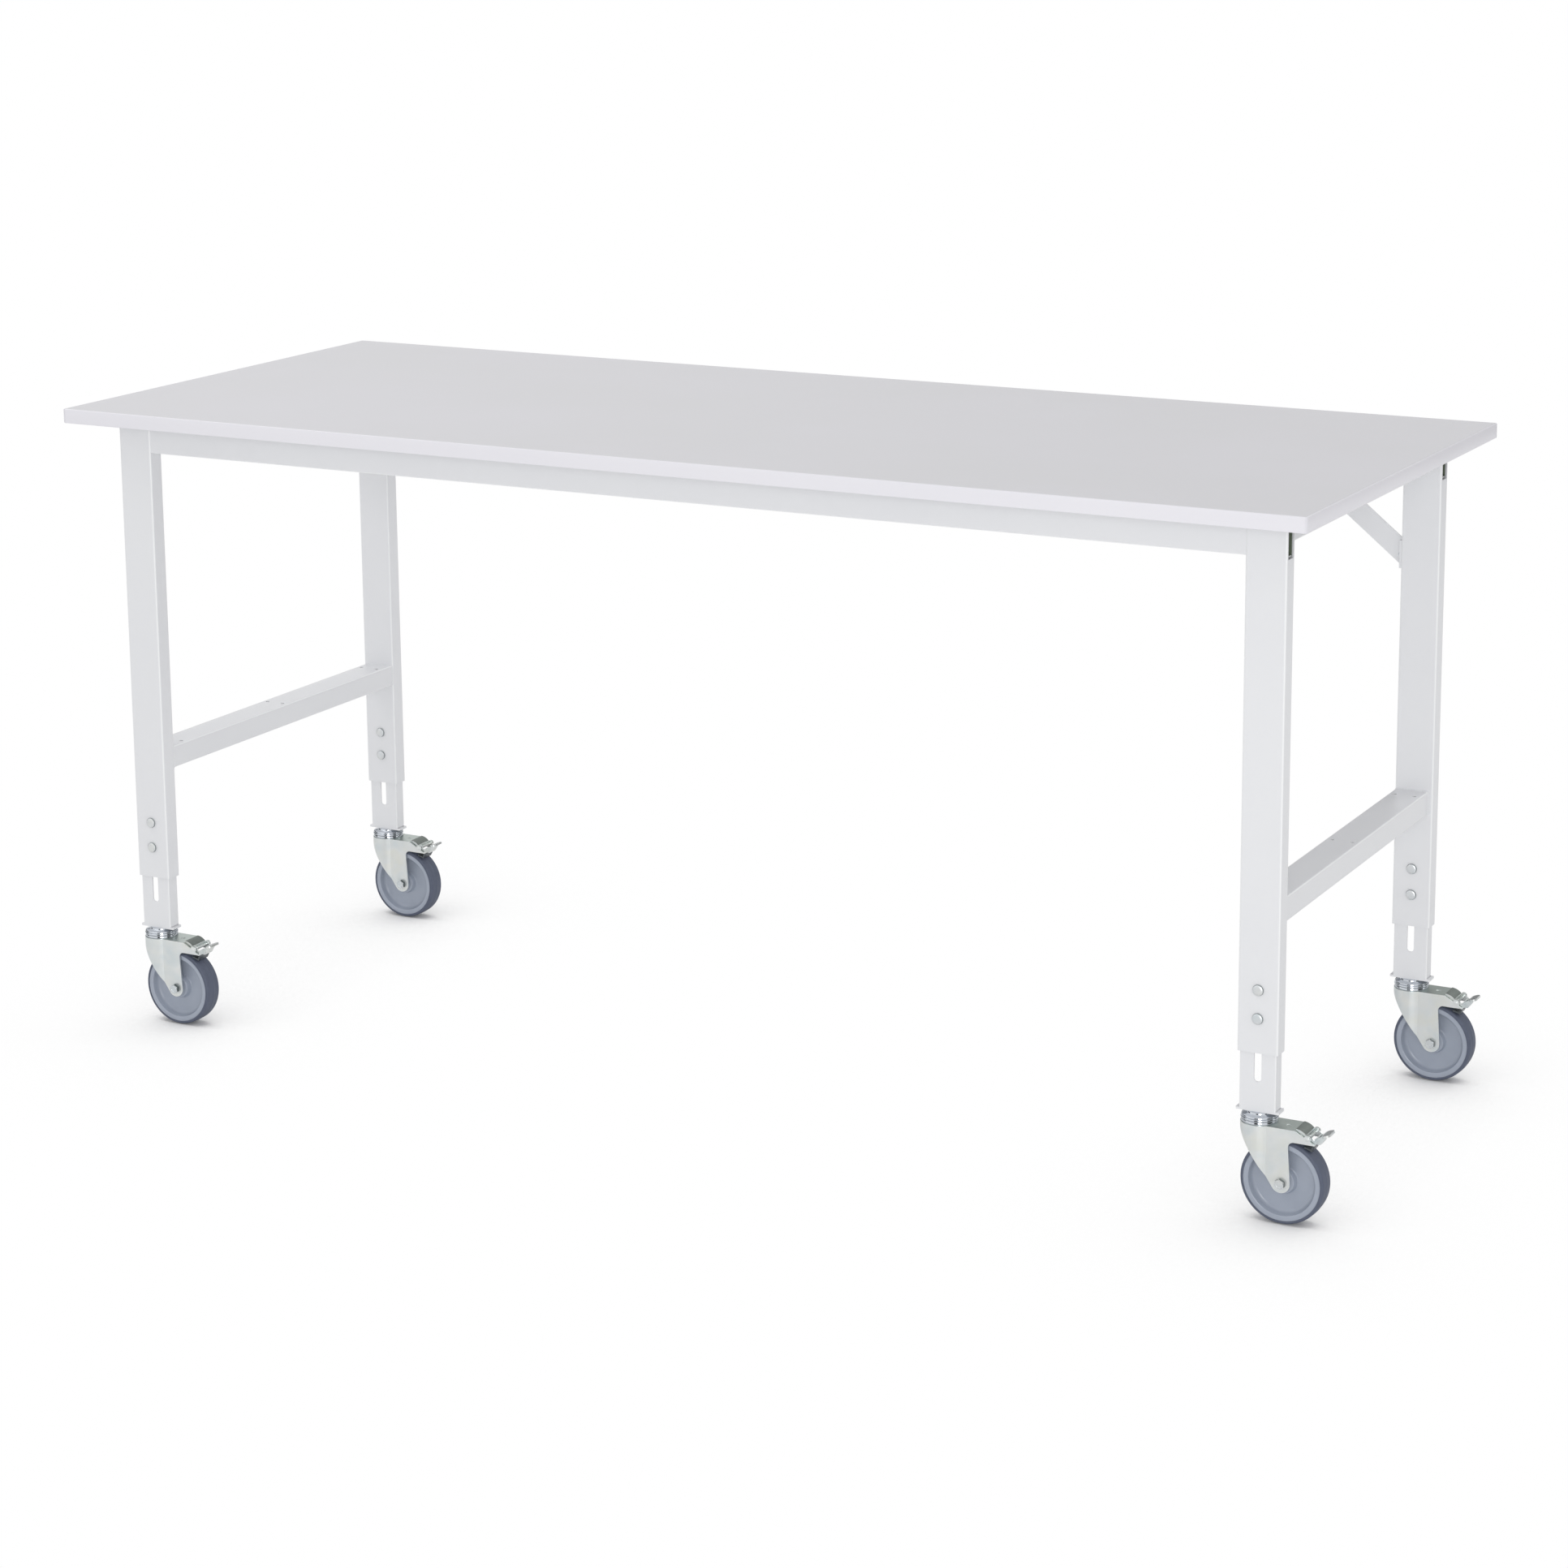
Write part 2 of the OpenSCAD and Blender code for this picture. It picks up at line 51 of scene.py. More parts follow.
# ---------------------------------------------------------------------------------------- Studio
# A plain white room with soft light from all round, and a large softbox low at the front right
# that brings out the rounded corners. Dark flags between the lights give bright metal its bands.

LENS = 83.9
SENSOR = 36
LENS_RISE = -0.15
SIGHT = 50
CAMERA_PLACE = (2.567, -4.730, 1.877)
CAMERA_TURN = 28.2
CAMERA_DOWN = 11.5
CAMERA_ROLL = -0.49
ROOM_LIGHT = 0.75
SHADOW_REACH = 0.45
SHADOW_FULL = 0.45
SHADOW_GONE = 0.97
FLOOR_SIZE = 30
FLOOR_GREY = 0.88
FLAG_AWAY = 6.0


def add_node(tree, kind, settings=(), links=()):
    """Adds a shader node. A setting or link named with a capital or a number is a socket."""
    made = tree.nodes.new("ShaderNode" + kind)
    for name, value in dict(settings).items():
        if isinstance(name, int) or name[0].isupper():
            made.inputs[name].default_value = value
        else:
            setattr(made, name, value)
    for name, source in dict(links).items():
        tree.links.new(source, made.inputs[name])
    return made


scene = bpy.context.scene
scene.view_settings.view_transform = "Standard"

camera = bpy.data.objects.new("camera", bpy.data.cameras.new("camera"))
scene.collection.objects.link(camera)
scene.camera = camera
camera.data.lens = LENS
camera.data.sensor_width = SENSOR
camera.data.shift_y = LENS_RISE
camera.data.clip_end = SIGHT
camera.location = CAMERA_PLACE
camera.rotation_euler = (
    Matrix.Rotation(math.radians(CAMERA_TURN), 3, "Z")
    @ Matrix.Rotation(math.radians(90 - CAMERA_DOWN), 3, "X")
    @ Matrix.Rotation(math.radians(CAMERA_ROLL), 3, "Z")
).to_euler()

room = bpy.data.worlds.new("white_room")
scene.world = room
room.use_nodes = True
tree = room.node_tree
tree.nodes.clear()
ray = add_node(tree, "LightPath")
seen = add_node(
    tree, "Math", {"operation": "MAXIMUM"},
    {0: ray.outputs["Is Camera Ray"], 1: ray.outputs["Is Glossy Ray"]},
)
seen = add_node(
    tree, "Math", {"operation": "MAXIMUM"},
    {0: seen.outputs[0], 1: ray.outputs["Is Transmission Ray"]},
)
level = add_node(
    tree, "MapRange", {"To Min": ROOM_LIGHT, "To Max": 1.0}, {"Value": seen.outputs[0]}
)
light = add_node(tree, "Background", {"Color": (1, 1, 1, 1)}, {"Strength": level.outputs[0]})
add_node(tree, "OutputWorld", {}, {"Surface": light.outputs[0]})


def softbox(name, place, aim, size, watts):
    """A square lamp panel at place, turned towards aim."""
    lamp = bpy.data.objects.new(name, bpy.data.lights.new(name, "AREA"))
    scene.collection.objects.link(lamp)
    lamp.data.size = size
    lamp.data.energy = watts
    lamp.location = place
    lamp.rotation_euler = (Vector(aim) - Vector(place)).to_track_quat("-Z", "Y").to_euler()


softbox("key_lamp", (3.3, -6.2, 1.9), (0, 0, 0.5), 2.0, 114)
softbox("top_lamp", (-2.6, -0.6, 3.8), (-0.2, 0, 0.9), 1.6, 20)
softbox("edge_lamp", (2.4, 3.3, 2.7), (1.0, 0, 0.97), 1.0, 15)

# The floor is seen only where the bench keeps light off it. Elsewhere the white room shows, and
# so do legs that are let out to below the floor's level.
bpy.ops.mesh.primitive_plane_add(size=FLOOR_SIZE)
floor = bpy.context.object
floor.name = "floor"
white = bpy.data.materials.new("white_floor")
white.use_nodes = True
tree = white.node_tree
shader = tree.nodes["Principled BSDF"]
shader.inputs["Base Color"].default_value = (FLOOR_GREY, FLOOR_GREY, FLOOR_GREY, 1)
shader.inputs["Roughness"].default_value = 1.0
open_sky = add_node(tree, "AmbientOcclusion", {"samples": 24, "Distance": SHADOW_REACH})
clear = add_node(
    tree, "MapRange", {"From Min": SHADOW_FULL, "From Max": SHADOW_GONE},
    {"Value": open_sky.outputs["AO"]},
)
ray = add_node(tree, "LightPath")
clear = add_node(
    tree, "Math", {"operation": "MULTIPLY"}, {0: clear.outputs[0], 1: ray.outputs["Is Camera Ray"]}
)
glass = add_node(tree, "BsdfTransparent")
shadow_only = add_node(
    tree, "MixShader", {},
    {0: clear.outputs[0], 1: shader.outputs[0], 2: glass.outputs[0]},
)
tree.links.new(shadow_only.outputs[0], tree.nodes["Material Output"].inputs["Surface"])
floor.data.materials.append(white)


def flag(name, turn, width, foot, top, grey):
    """A matt panel that only mirrors see, at a turn in degrees from the front towards the right."""
    way = Vector((math.sin(math.radians(turn)), -math.cos(math.radians(turn)), 0))
    bpy.ops.mesh.primitive_plane_add(
        size=1, location=way * FLAG_AWAY + Vector((0, 0, (foot + top) / 2)),
        rotation=(math.pi / 2, 0, math.radians(turn)),
    )
    panel = bpy.context.object
    panel.name = name
    panel.scale = (width, top - foot, 1)
    for kind_of_ray in ("camera", "diffuse", "transmission", "volume_scatter", "shadow"):
        setattr(panel, "visible_" + kind_of_ray, False)
    felt = bpy.data.materials.new(name + "_felt")
    felt.use_nodes = True
    shader = felt.node_tree.nodes["Principled BSDF"]
    shader.inputs["Base Color"].default_value = (grey, grey, grey, 1)
    shader.inputs["Roughness"].default_value = 1.0
    panel.data.materials.append(felt)


flag("flag_front", 8, 2.4, 0.0, 3.0, 0.05)
flag("flag_right", 84, 3.4, 0.0, 3.0, 0.06)
flag("flag_left", -96, 6.0, 0.0, 3.0, 0.06)
flag("flag_behind", 160, 12.0, 0.0, 3.4, 0.22)

# ---------------------------------------------------------------------------------------- Worktop
# A 22 mm chipboard panel faced with high-pressure laminate: light grey, satin, with the fine
# pearl grain that the press plate leaves. Its rim is covered by a 2 mm plastic edge band.

PEARL_GRAIN = 1.6 * mm  # finer on a real one, drawn coarse enough to show
SOIL_PATCH = 350 * mm
BOARD_SHADE = "#d7d7d9"
BOARD_LIGHT = "#dcdbe0"
BAND_SHADE = "#e3e2e8"
BAND_LIGHT = "#e8e7ec"
BAND_T = 2 * mm
BAND_ARRIS = 1.4 * mm
BOARD_CORNER = 4 * mm
BOARD_ARRIS = 0.2 * mm
DRAW_LENGTH = 250 * mm
DRAW_LINE = 0.4 * mm  # finer on a real one, drawn coarse enough to show
STITCH = 0.002 * mm
FLAT_WITHIN = math.radians(0.2)
SHARP_FROM = math.radians(32)


def linear(hex_colour, alpha=1):
    """An sRGB hex colour as the linear numbers that shaders use."""
    channels = [int(hex_colour[i : i + 2], 16) / 255 for i in (1, 3, 5)]
    return [c / 12.92 if c <= 0.04045 else ((c + 0.055) / 1.055) ** 2.4 for c in channels] + [alpha]


def new_finish(name, **sockets):
    """A material with its shader's sockets set; gives the material, its tree, shader and place."""
    finish = bpy.data.materials.new(name)
    finish.use_nodes = True
    tree = finish.node_tree
    shader = tree.nodes["Principled BSDF"]
    for socket, value in sockets.items():
        shader.inputs[socket.replace("_", " ")].default_value = value
    return finish, tree, shader, add_node(tree, "TexCoord").outputs["Object"]


def mixed(tree, first, second, factor):
    """A colour between two others; each is a hex string or a socket."""
    mix = add_node(tree, "Mix", {"data_type": "RGBA"}, {0: factor})
    for socket, colour in ((6, first), (7, second)):
        if isinstance(colour, str):
            mix.inputs[socket].default_value = linear(colour)
        else:
            tree.links.new(colour, mix.inputs[socket])
    return mix.outputs[2]


def vary(tree, socket, low, high, factor):
    """Lets a socket run from low to high with factor; colours are hex strings."""
    if isinstance(low, str):
        value = mixed(tree, low, high, factor)
    else:
        value = add_node(tree, "MapRange", {"To Min": low, "To Max": high}, {0: factor}).outputs[0]
    tree.links.new(value, socket)


def soften(node, width, segments=2):
    """Breaks a CAD node's sharp edges with live modifiers, as tooling or deburring does."""
    piece = nodes[node]
    weld = piece.modifiers.new("weld", "WELD")
    weld.merge_threshold = STITCH
    flat = piece.modifiers.new("flat", "DECIMATE")
    flat.decimate_type = "DISSOLVE"
    flat.angle_limit = FLAT_WITHIN
    bevel = piece.modifiers.new("bevel", "BEVEL")
    bevel.width = width
    bevel.segments = segments
    bevel.limit_method = "ANGLE"
    bevel.angle_limit = SHARP_FROM
    bevel.harden_normals = True
    normals = piece.modifiers.new("normals", "WEIGHTED_NORMAL")
    normals.keep_sharp = True


# High-pressure laminate, pressed against a pearl-grained plate: a matt sheen broken by fine grain
laminate, tree, shader, place = new_finish("high_pressure_laminate", IOR=1.5)
grain = add_node(tree, "TexNoise", {"Scale": 1 / PEARL_GRAIN, "Detail": 3.0}, {"Vector": place})
cloud = add_node(tree, "TexNoise", {"Scale": 1 / SOIL_PATCH, "Detail": 4.0}, {"Vector": place})
vary(tree, shader.inputs["Base Color"], BOARD_SHADE, BOARD_LIGHT, cloud.outputs[0])
vary(tree, shader.inputs["Roughness"], 0.56, 0.72, grain.outputs[0])
bump = add_node(
    tree, "Bump", {"Strength": 0.35, "Distance": 0.05 * mm}, {"Height": grain.outputs[0]}
)
tree.links.new(bump.outputs[0], shader.inputs["Normal"])

nodes["worktop"].material_slots[0].material = laminate
soften("worktop", BOARD_ARRIS)

# ABS edge band, extruded and trimmed flush: smooth, with faint draw lines along its length
edge_band, tree, shader, place = new_finish("abs_edge_band", IOR=1.53)
drawn = add_node(
    tree, "Mapping", {"Scale": (1 / DRAW_LENGTH, 1 / DRAW_LENGTH, 1 / DRAW_LINE)}, {"Vector": place}
)
lines = add_node(tree, "TexNoise", {"Scale": 1.0, "Detail": 2.0}, {"Vector": drawn.outputs[0]})
cloud = add_node(tree, "TexNoise", {"Scale": 1 / SOIL_PATCH, "Detail": 3.0}, {"Vector": place})
vary(tree, shader.inputs["Base Color"], BAND_SHADE, BAND_LIGHT, cloud.outputs[0])
vary(tree, shader.inputs["Roughness"], 0.27, 0.29, lines.outputs[0])
bump = add_node(
    tree, "Bump", {"Strength": 0.1, "Distance": 0.001 * mm}, {"Height": lines.outputs[0]}
)
tree.links.new(bump.outputs[0], shader.inputs["Normal"])


def pick(piece, wanted):
    """Selects just the faces of a piece for which wanted(face) holds, and goes to edit mode."""
    bpy.ops.object.mode_set(mode="OBJECT")
    for part in (*piece.data.vertices, *piece.data.edges):
        part.select = False
    for face in piece.data.polygons:
        face.select = wanted(face)
    bpy.ops.object.mode_set(mode="EDIT")
    bpy.ops.mesh.select_mode(type="FACE")


# The band goes all round the board and is scraped to a round at its outer edges
low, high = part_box("edge_band")
bpy.ops.object.select_all(action="DESELECT")
bpy.ops.mesh.primitive_plane_add(
    size=1, location=((low.x + high.x) / 2, (low.y + high.y) / 2, low.z)
)
band = bpy.context.object
band.name = "abs_edge_band"
band.scale = (high.x - low.x, high.y - low.y, 1)
bpy.ops.object.transform_apply(location=True, rotation=True, scale=True)
bpy.ops.object.mode_set(mode="EDIT")
bpy.ops.mesh.select_all(action="SELECT")
bpy.ops.mesh.bevel(offset=BOARD_CORNER, segments=8, affect="VERTICES")
bpy.ops.mesh.extrude_region_move(TRANSFORM_OT_translate={"value": (0, 0, high.z - low.z)})
bpy.ops.mesh.select_all(action="SELECT")
bpy.ops.mesh.normals_make_consistent(inside=False)
pick(band, lambda face: abs(face.normal.z) > 0.9)
bpy.ops.mesh.bevel(offset=BAND_ARRIS, segments=5)
pick(band, lambda face: abs(face.normal.z) > 0.99 and len(face.vertices) > 4)
bpy.ops.mesh.inset(thickness=BAND_T - BAND_ARRIS)
bpy.ops.mesh.delete(type="ONLY_FACE")
bpy.ops.mesh.select_mode(type="EDGE")
bpy.ops.mesh.select_all(action="DESELECT")
bpy.ops.mesh.select_non_manifold()
bpy.ops.mesh.bridge_edge_loops()
bpy.ops.mesh.select_mode(type="VERT")
bpy.ops.mesh.select_all(action="SELECT")
bpy.ops.mesh.normals_make_consistent(inside=False)
bpy.ops.object.mode_set(mode="OBJECT")
for vertex in band.data.vertices:  # the bevel stands out by 0.1 mm where the corners' arcs begin
    vertex.co.x = min(max(vertex.co.x, low.x), high.x)
    vertex.co.y = min(max(vertex.co.y, low.y), high.y)
bpy.ops.object.shade_smooth_by_angle(angle=math.radians(30))
band.data.materials.append(edge_band)
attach(band, "bench")
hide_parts("edge_band")

# ---------------------------------------------------------------------------------------- Frame
# Rectangular steel tube, welded into two end frames and joined by two long rails under the top.
# All of it is powder coated light grey; the insides of the tubes stay bare, dull steel, drawn
# dark grey-green as painted shade.

PEEL = 2.4 * mm
COAT_PATCH = 166.7 * mm
COAT_LIGHT = "#e6e7e9"
COAT_SHADE = "#e1e2e5"
# paler colour painted round tube corners as a highlight
CORNER_HIGHLIGHT_PAINT = "#f3f4f5"
# bare steel inside the rails, darkened as painted shade
BORE_SHADE = "#56604f"
BORE_LIGHT = "#737d6f"
TUBE_ARRIS = 0.35 * mm
TUBE_WALL = 2 * mm
MILL_SCALE = 8.333 * mm

# Polyester powder, melted to a film: satin, with a faint orange peel
powder_coat, tree, shader, place = new_finish("polyester_powder_coat", IOR=1.5)
peel = add_node(tree, "TexNoise", {"Scale": 1 / PEEL, "Detail": 1.5}, {"Vector": place})
cloud = add_node(tree, "TexNoise", {"Scale": 1 / COAT_PATCH, "Detail": 3.0}, {"Vector": place})
vary(tree, shader.inputs["Roughness"], 0.26, 0.38, peel.outputs[0])
bump = add_node(
    tree, "Bump", {"Strength": 0.25, "Distance": 0.06 * mm}, {"Height": peel.outputs[0]}
)
tree.links.new(bump.outputs[0], shader.inputs["Normal"])

# Round a tube's corner the film flows out smooth, so that it shines more. Its paler colour there is
# a painted highlight. A corner is where the surface faces none of the three axes.
facing = add_node(tree, "NewGeometry").outputs["Normal"]
facing = add_node(tree, "VectorMath", {"operation": "ABSOLUTE"}, {0: facing}).outputs[0]
x, y, z = add_node(tree, "SeparateXYZ", {}, {0: facing}).outputs
square = add_node(tree, "Math", {"operation": "MAXIMUM"}, {0: x, 1: y}).outputs[0]
square = add_node(tree, "Math", {"operation": "MAXIMUM"}, {0: square, 1: z}).outputs[0]
corner = add_node(tree, "MapRange", {"From Min": 0.97, "From Max": 0.8}, {0: square}).outputs[0]
coat = mixed(tree, COAT_SHADE, COAT_LIGHT, cloud.outputs[0])
tree.links.new(mixed(tree, coat, CORNER_HIGHLIGHT_PAINT, corner), shader.inputs["Base Color"])
vary(tree, shader.inputs["Specular IOR Level"], 0.5, 0.8, corner)

for name, piece in nodes.items():
    if piece.material_slots[0].material.name.startswith("powder_coat"):
        piece.material_slots[0].material = powder_coat
        soften(name, TUBE_ARRIS)


def inside(tree, coordinate, middle, reach):
    """A mask that is 1 where a coordinate lies within reach of middle."""
    away = add_node(tree, "Math", {"operation": "SUBTRACT", 1: middle}, {0: coordinate})
    away = add_node(tree, "Math", {"operation": "ABSOLUTE"}, {0: away.outputs[0]}).outputs[0]
    return add_node(tree, "Math", {"operation": "LESS_THAN", 1: reach}, {0: away}).outputs[0]


def both(tree, first, second):
    """The product of two masks."""
    return add_node(tree, "Math", {"operation": "MULTIPLY"}, {0: first, 1: second}).outputs[0]


# The powder hardly reaches into a tube, so that a rail's bore is dull steel with some mill scale,
# drawn darker grey-green than bare steel as painted shade inside the bore
for rail in ("front_rail", "rear_rail"):
    low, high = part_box(rail)
    rail_coat = powder_coat.copy()
    rail_coat.name = "powder_coat_and_shaded_bore"
    tree = rail_coat.node_tree
    shader = tree.nodes["Principled BSDF"]
    place = tree.nodes["Texture Coordinate"].outputs["Object"]
    _, y, z = add_node(tree, "SeparateXYZ", {}, {0: place}).outputs
    across = inside(tree, y, (low.y + high.y) / 2, (high.y - low.y - TUBE_WALL) / 2)
    upright = inside(tree, z, (low.z + high.z) / 2, (high.z - low.z - TUBE_WALL) / 2)
    coat = shader.inputs["Base Color"].links[0].from_socket
    scale = add_node(tree, "TexNoise", {"Scale": 1 / MILL_SCALE, "Detail": 3.0}, {"Vector": place})
    bare_steel_and_shade = mixed(tree, BORE_SHADE, BORE_LIGHT, scale.outputs[0])
    bare = mixed(tree, coat, bare_steel_and_shade, both(tree, across, upright))
    tree.links.new(bare, shader.inputs["Base Color"])
    nodes[rail].material_slots[0].material = rail_coat

# ---------------------------------------------------------------------------------------- Wheels
# Each wheel is one piece of injection-moulded polypropylene: a flat ring under the tyre, a thin web
# deep inside it and a boss round the axle tube. It turns on the axle, so it rides on rolling_*.

MADE_AT = "fr"
WHEEL_STEPS = 160
HUB_BORE_R = 4.1
HUB_R = 9.1
BOSS_R = 16.7
RIM_FOOT = 10.4
RIM_LAND = 6.8
RIM_BACK = 0.7
WEB_HALF = 3.5
WEB_FILLET = 6.0
RIM_SHADE = "#98a0ae"
RIM_LIGHT = "#a8afbc"
MOULD_GRAIN = 1.5 * mm  # finer on a real one, drawn coarse enough to show
RESIN_PATCH = 33.333 * mm
FLOW_RING = 5.236 * mm
WAVE_LENGTH = 2 * math.pi / 20  # of a wave texture's rings where its scale is 1, in metres
MERGE_WITHIN = 0.001 * mm

swivels = {}
axles = {}
for joint in frame["joints"]:
    kind, leg = joint["name"].rsplit("_", 1)
    if kind == "castor":
        swivels[leg] = Vector(joint["pos_m"])
    if kind == "wheel_spin":
        axles[leg] = Vector(joint["pos_m"])


def rounded(corners, steps=5):
    """An open outline through corners (x, y, radius), each rounded by its radius."""
    points = []
    for i, (x, y, radius) in enumerate(corners):
        here = Vector((x, y))
        if not radius or i in (0, len(corners) - 1):
            points.append(here)
            continue
        before = (Vector(corners[i - 1][:2]) - here).normalized()
        after = (Vector(corners[i + 1][:2]) - here).normalized()
        half = before.angle(after) / 2
        centre = here + (before + after).normalized() * radius / math.sin(half)
        start = here + before * radius / math.tan(half) - centre
        end = here + after * radius / math.tan(half) - centre
        sweep = start.angle_signed(end)
        for step in range(steps + 1):
            turn = -sweep * step / steps
            points.append(
                centre
                + Vector((
                    start.x * math.cos(turn) - start.y * math.sin(turn),
                    start.x * math.sin(turn) + start.y * math.cos(turn),
                ))
            )
    return points


def turned(name, outline, centre, axis, steps, closed=False):
    """Draws an outline of (radius, along) in mm point by point and spins it about an axis."""
    across = Vector((0, 0, 1)) if axis == "Y" else Vector((1, 0, 0))
    along = Vector((0, 1, 0)) if axis == "Y" else Vector((0, 0, 1))
    places = [centre + (across * r + along * a) * mm for r, a in outline]
    if closed:
        places.append(places[0])
    bpy.ops.object.select_all(action="DESELECT")
    bpy.ops.mesh.primitive_plane_add(size=mm, location=(0, 0, 0))
    piece = bpy.context.object
    piece.name = name
    bpy.ops.object.mode_set(mode="EDIT")
    bpy.ops.mesh.select_all(action="SELECT")
    bpy.ops.mesh.merge(type="CENTER")
    bpy.ops.transform.translate(value=places[0])
    for start, end in zip(places, places[1:]):
        bpy.ops.mesh.extrude_region_move(TRANSFORM_OT_translate={"value": end - start})
    bpy.ops.mesh.select_all(action="SELECT")
    bpy.ops.mesh.spin(steps=steps, angle=2 * math.pi, center=centre, axis=along)
    bpy.ops.mesh.select_all(action="SELECT")
    bpy.ops.mesh.remove_doubles(threshold=MERGE_WITHIN)
    bpy.ops.mesh.normals_make_consistent(inside=False)
    bpy.ops.object.mode_set(mode="OBJECT")
    bpy.ops.object.shade_smooth_by_angle(angle=math.radians(35))
    return piece


def at_each_leg(piece, name, body, node, finish):
    """Puts piece at its own leg and a copy at each other one; each stands for its CAD node."""
    piece.data.materials.clear()
    for leg, swivel in swivels.items():
        twin = piece
        if leg != MADE_AT:
            twin = piece.copy()
            twin.data = piece.data.copy()
            scene.collection.objects.link(twin)
            twin.data.transform(Matrix.Translation(swivel - swivels[MADE_AT]))
        twin.name = f"{name}_{leg}"
        twin.data.materials.append(finish(leg) if callable(finish) else finish)
        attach(twin, body if body == "bench" else f"{body}_{leg}")
        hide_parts(f"{node}_{leg}")


low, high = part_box(f"tyre_{MADE_AT}")
wheel_r = (high.z - low.z) / 2 / mm
tyre_half = (high.y - low.y) / 2 / mm
low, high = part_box(f"wheel_{MADE_AT}")
rim_r = (high.z - low.z) / 2 / mm
hub_half = (high.y - low.y) / 2 / mm
rim_half = tyre_half - RIM_BACK
half_outline = rounded([
    (HUB_BORE_R, hub_half, 0), (HUB_R, hub_half, 0.8), (HUB_R + 0.5, rim_half - 2.2, 0.8),
    (BOSS_R, rim_half - 2.8, 1.4), (BOSS_R + 2.1, WEB_HALF, 2.5), (30.0, WEB_HALF, 0),
    (rim_r - RIM_FOOT, WEB_HALF, WEB_FILLET), (rim_r - RIM_LAND - 1.2, rim_half - 0.5, 0.9),
    (rim_r - RIM_LAND, rim_half, 0.6), (rim_r - 0.8, rim_half, 0.5), (rim_r, rim_half - 0.9, 0),
])
whole = half_outline + [Vector((p.x, -p.y)) for p in reversed(half_outline)]
wheel = turned("wheel", whole, axles[MADE_AT], "Y", WHEEL_STEPS, closed=True)


def rim_plastic(leg):
    """Polypropylene: matt with a fine spark-eroded grain, and faint flow rings round the hub."""
    finish, tree, shader, place = new_finish(f"moulded_polypropylene_{leg}", IOR=1.49)
    centred = add_node(tree, "Mapping", {"Location": tuple(-axles[leg])}, {"Vector": place})
    grain = add_node(tree, "TexNoise", {"Scale": 1 / MOULD_GRAIN, "Detail": 3.0}, {"Vector": place})
    rings = add_node(
        tree, "TexWave",
        {
            "wave_type": "RINGS", "rings_direction": "Y", "Scale": WAVE_LENGTH / FLOW_RING,
            "Distortion": 1.5, "Detail": 2.0,
        },
        {"Vector": centred.outputs[0]},
    )
    cloud = add_node(tree, "TexNoise", {"Scale": 1 / RESIN_PATCH, "Detail": 3.0}, {"Vector": place})
    vary(tree, shader.inputs["Base Color"], RIM_SHADE, RIM_LIGHT, cloud.outputs[0])
    vary(tree, shader.inputs["Roughness"], 0.26, 0.272, rings.outputs["Fac"])
    bump = add_node(
        tree, "Bump", {"Strength": 0.3, "Distance": 0.04 * mm}, {"Height": grain.outputs[0]}
    )
    tree.links.new(bump.outputs[0], shader.inputs["Normal"])
    return finish


at_each_leg(wheel, "moulded_wheel", "rolling", "wheel", rim_plastic)

# ---------------------------------------------------------------------------------------- Tyres
# Non-marking thermoplastic rubber, moulded on to the rim: slate grey, with rounded shoulders, a
# slightly crowned tread and a fine parting line where the two halves of the mould met.

SHOULDER = 4.6
TREAD_CROWN = 0.35
TYRE_SHADE = "#4f5668"
TYRE_LIGHT = "#5d6476"
SCUFF = 7 * mm
PORE = 1.111 * mm  # finer on a real one, drawn coarse enough to show

half_outline = rounded([
    (wheel_r, 0, 0), (wheel_r, 0.25, 0.1), (wheel_r - 0.12, 0.6, 0),
    (wheel_r - TREAD_CROWN, tyre_half / 2, 30), (wheel_r - TREAD_CROWN - 0.5, tyre_half, SHOULDER),
    (rim_r + 1.2, tyre_half, 0.6), (rim_r, tyre_half - 0.5, 0),
], steps=7)
whole = [Vector((p.x, -p.y)) for p in reversed(half_outline[1:])] + half_outline
tyre = turned("tyre", whole, axles[MADE_AT], "Y", WHEEL_STEPS, closed=True)


def tyre_rubber(leg):
    """Thermoplastic rubber: dull, a little bluish, with scuffs that run round the tread."""
    finish, tree, shader, place = new_finish(f"thermoplastic_rubber_{leg}", IOR=1.5)
    centred = add_node(tree, "Mapping", {"Location": tuple(-axles[leg])}, {"Vector": place})
    scuffs = add_node(
        tree, "TexNoise", {"Scale": 1 / SCUFF, "Detail": 5.0}, {"Vector": centred.outputs[0]}
    )
    pores = add_node(tree, "TexNoise", {"Scale": 1 / PORE, "Detail": 2.0}, {"Vector": place})
    vary(tree, shader.inputs["Base Color"], TYRE_SHADE, TYRE_LIGHT, scuffs.outputs[0])
    vary(tree, shader.inputs["Roughness"], 0.48, 0.68, scuffs.outputs[0])
    bump = add_node(
        tree, "Bump", {"Strength": 0.35, "Distance": 0.05 * mm}, {"Height": pores.outputs[0]}
    )
    tree.links.new(bump.outputs[0], shader.inputs["Normal"])
    return finish


at_each_leg(tyre, "rubber_tyre", "rolling", "tyre", tyre_rubber)

# ---------------------------------------------------------------------------------------- Forks
# The fork is pressed from 2.5 mm steel sheet: a round nose under the swivel head, two legs for the
# axle and two arms with lugs for the brake. It is electroplated with zinc and passivated.

FORK_ARRIS = 0.5 * mm
RIVET_H = 1.2 * mm
ROLLED_GRAIN = 0.9 * mm  # finer on a real one, drawn coarse enough to show
TINT_PATCH = 22 * mm
STRAW = "#e8e6d4"
BLUE = "#cfdbe0"
# painted shade on upward-facing zinc, in grainy patches
TOP_SHADE_DARK = "#a9b3ae"
TOP_SHADE_PALE = "#bcc4c0"
SHADE_GRAIN_SIZE = 4.545 * mm

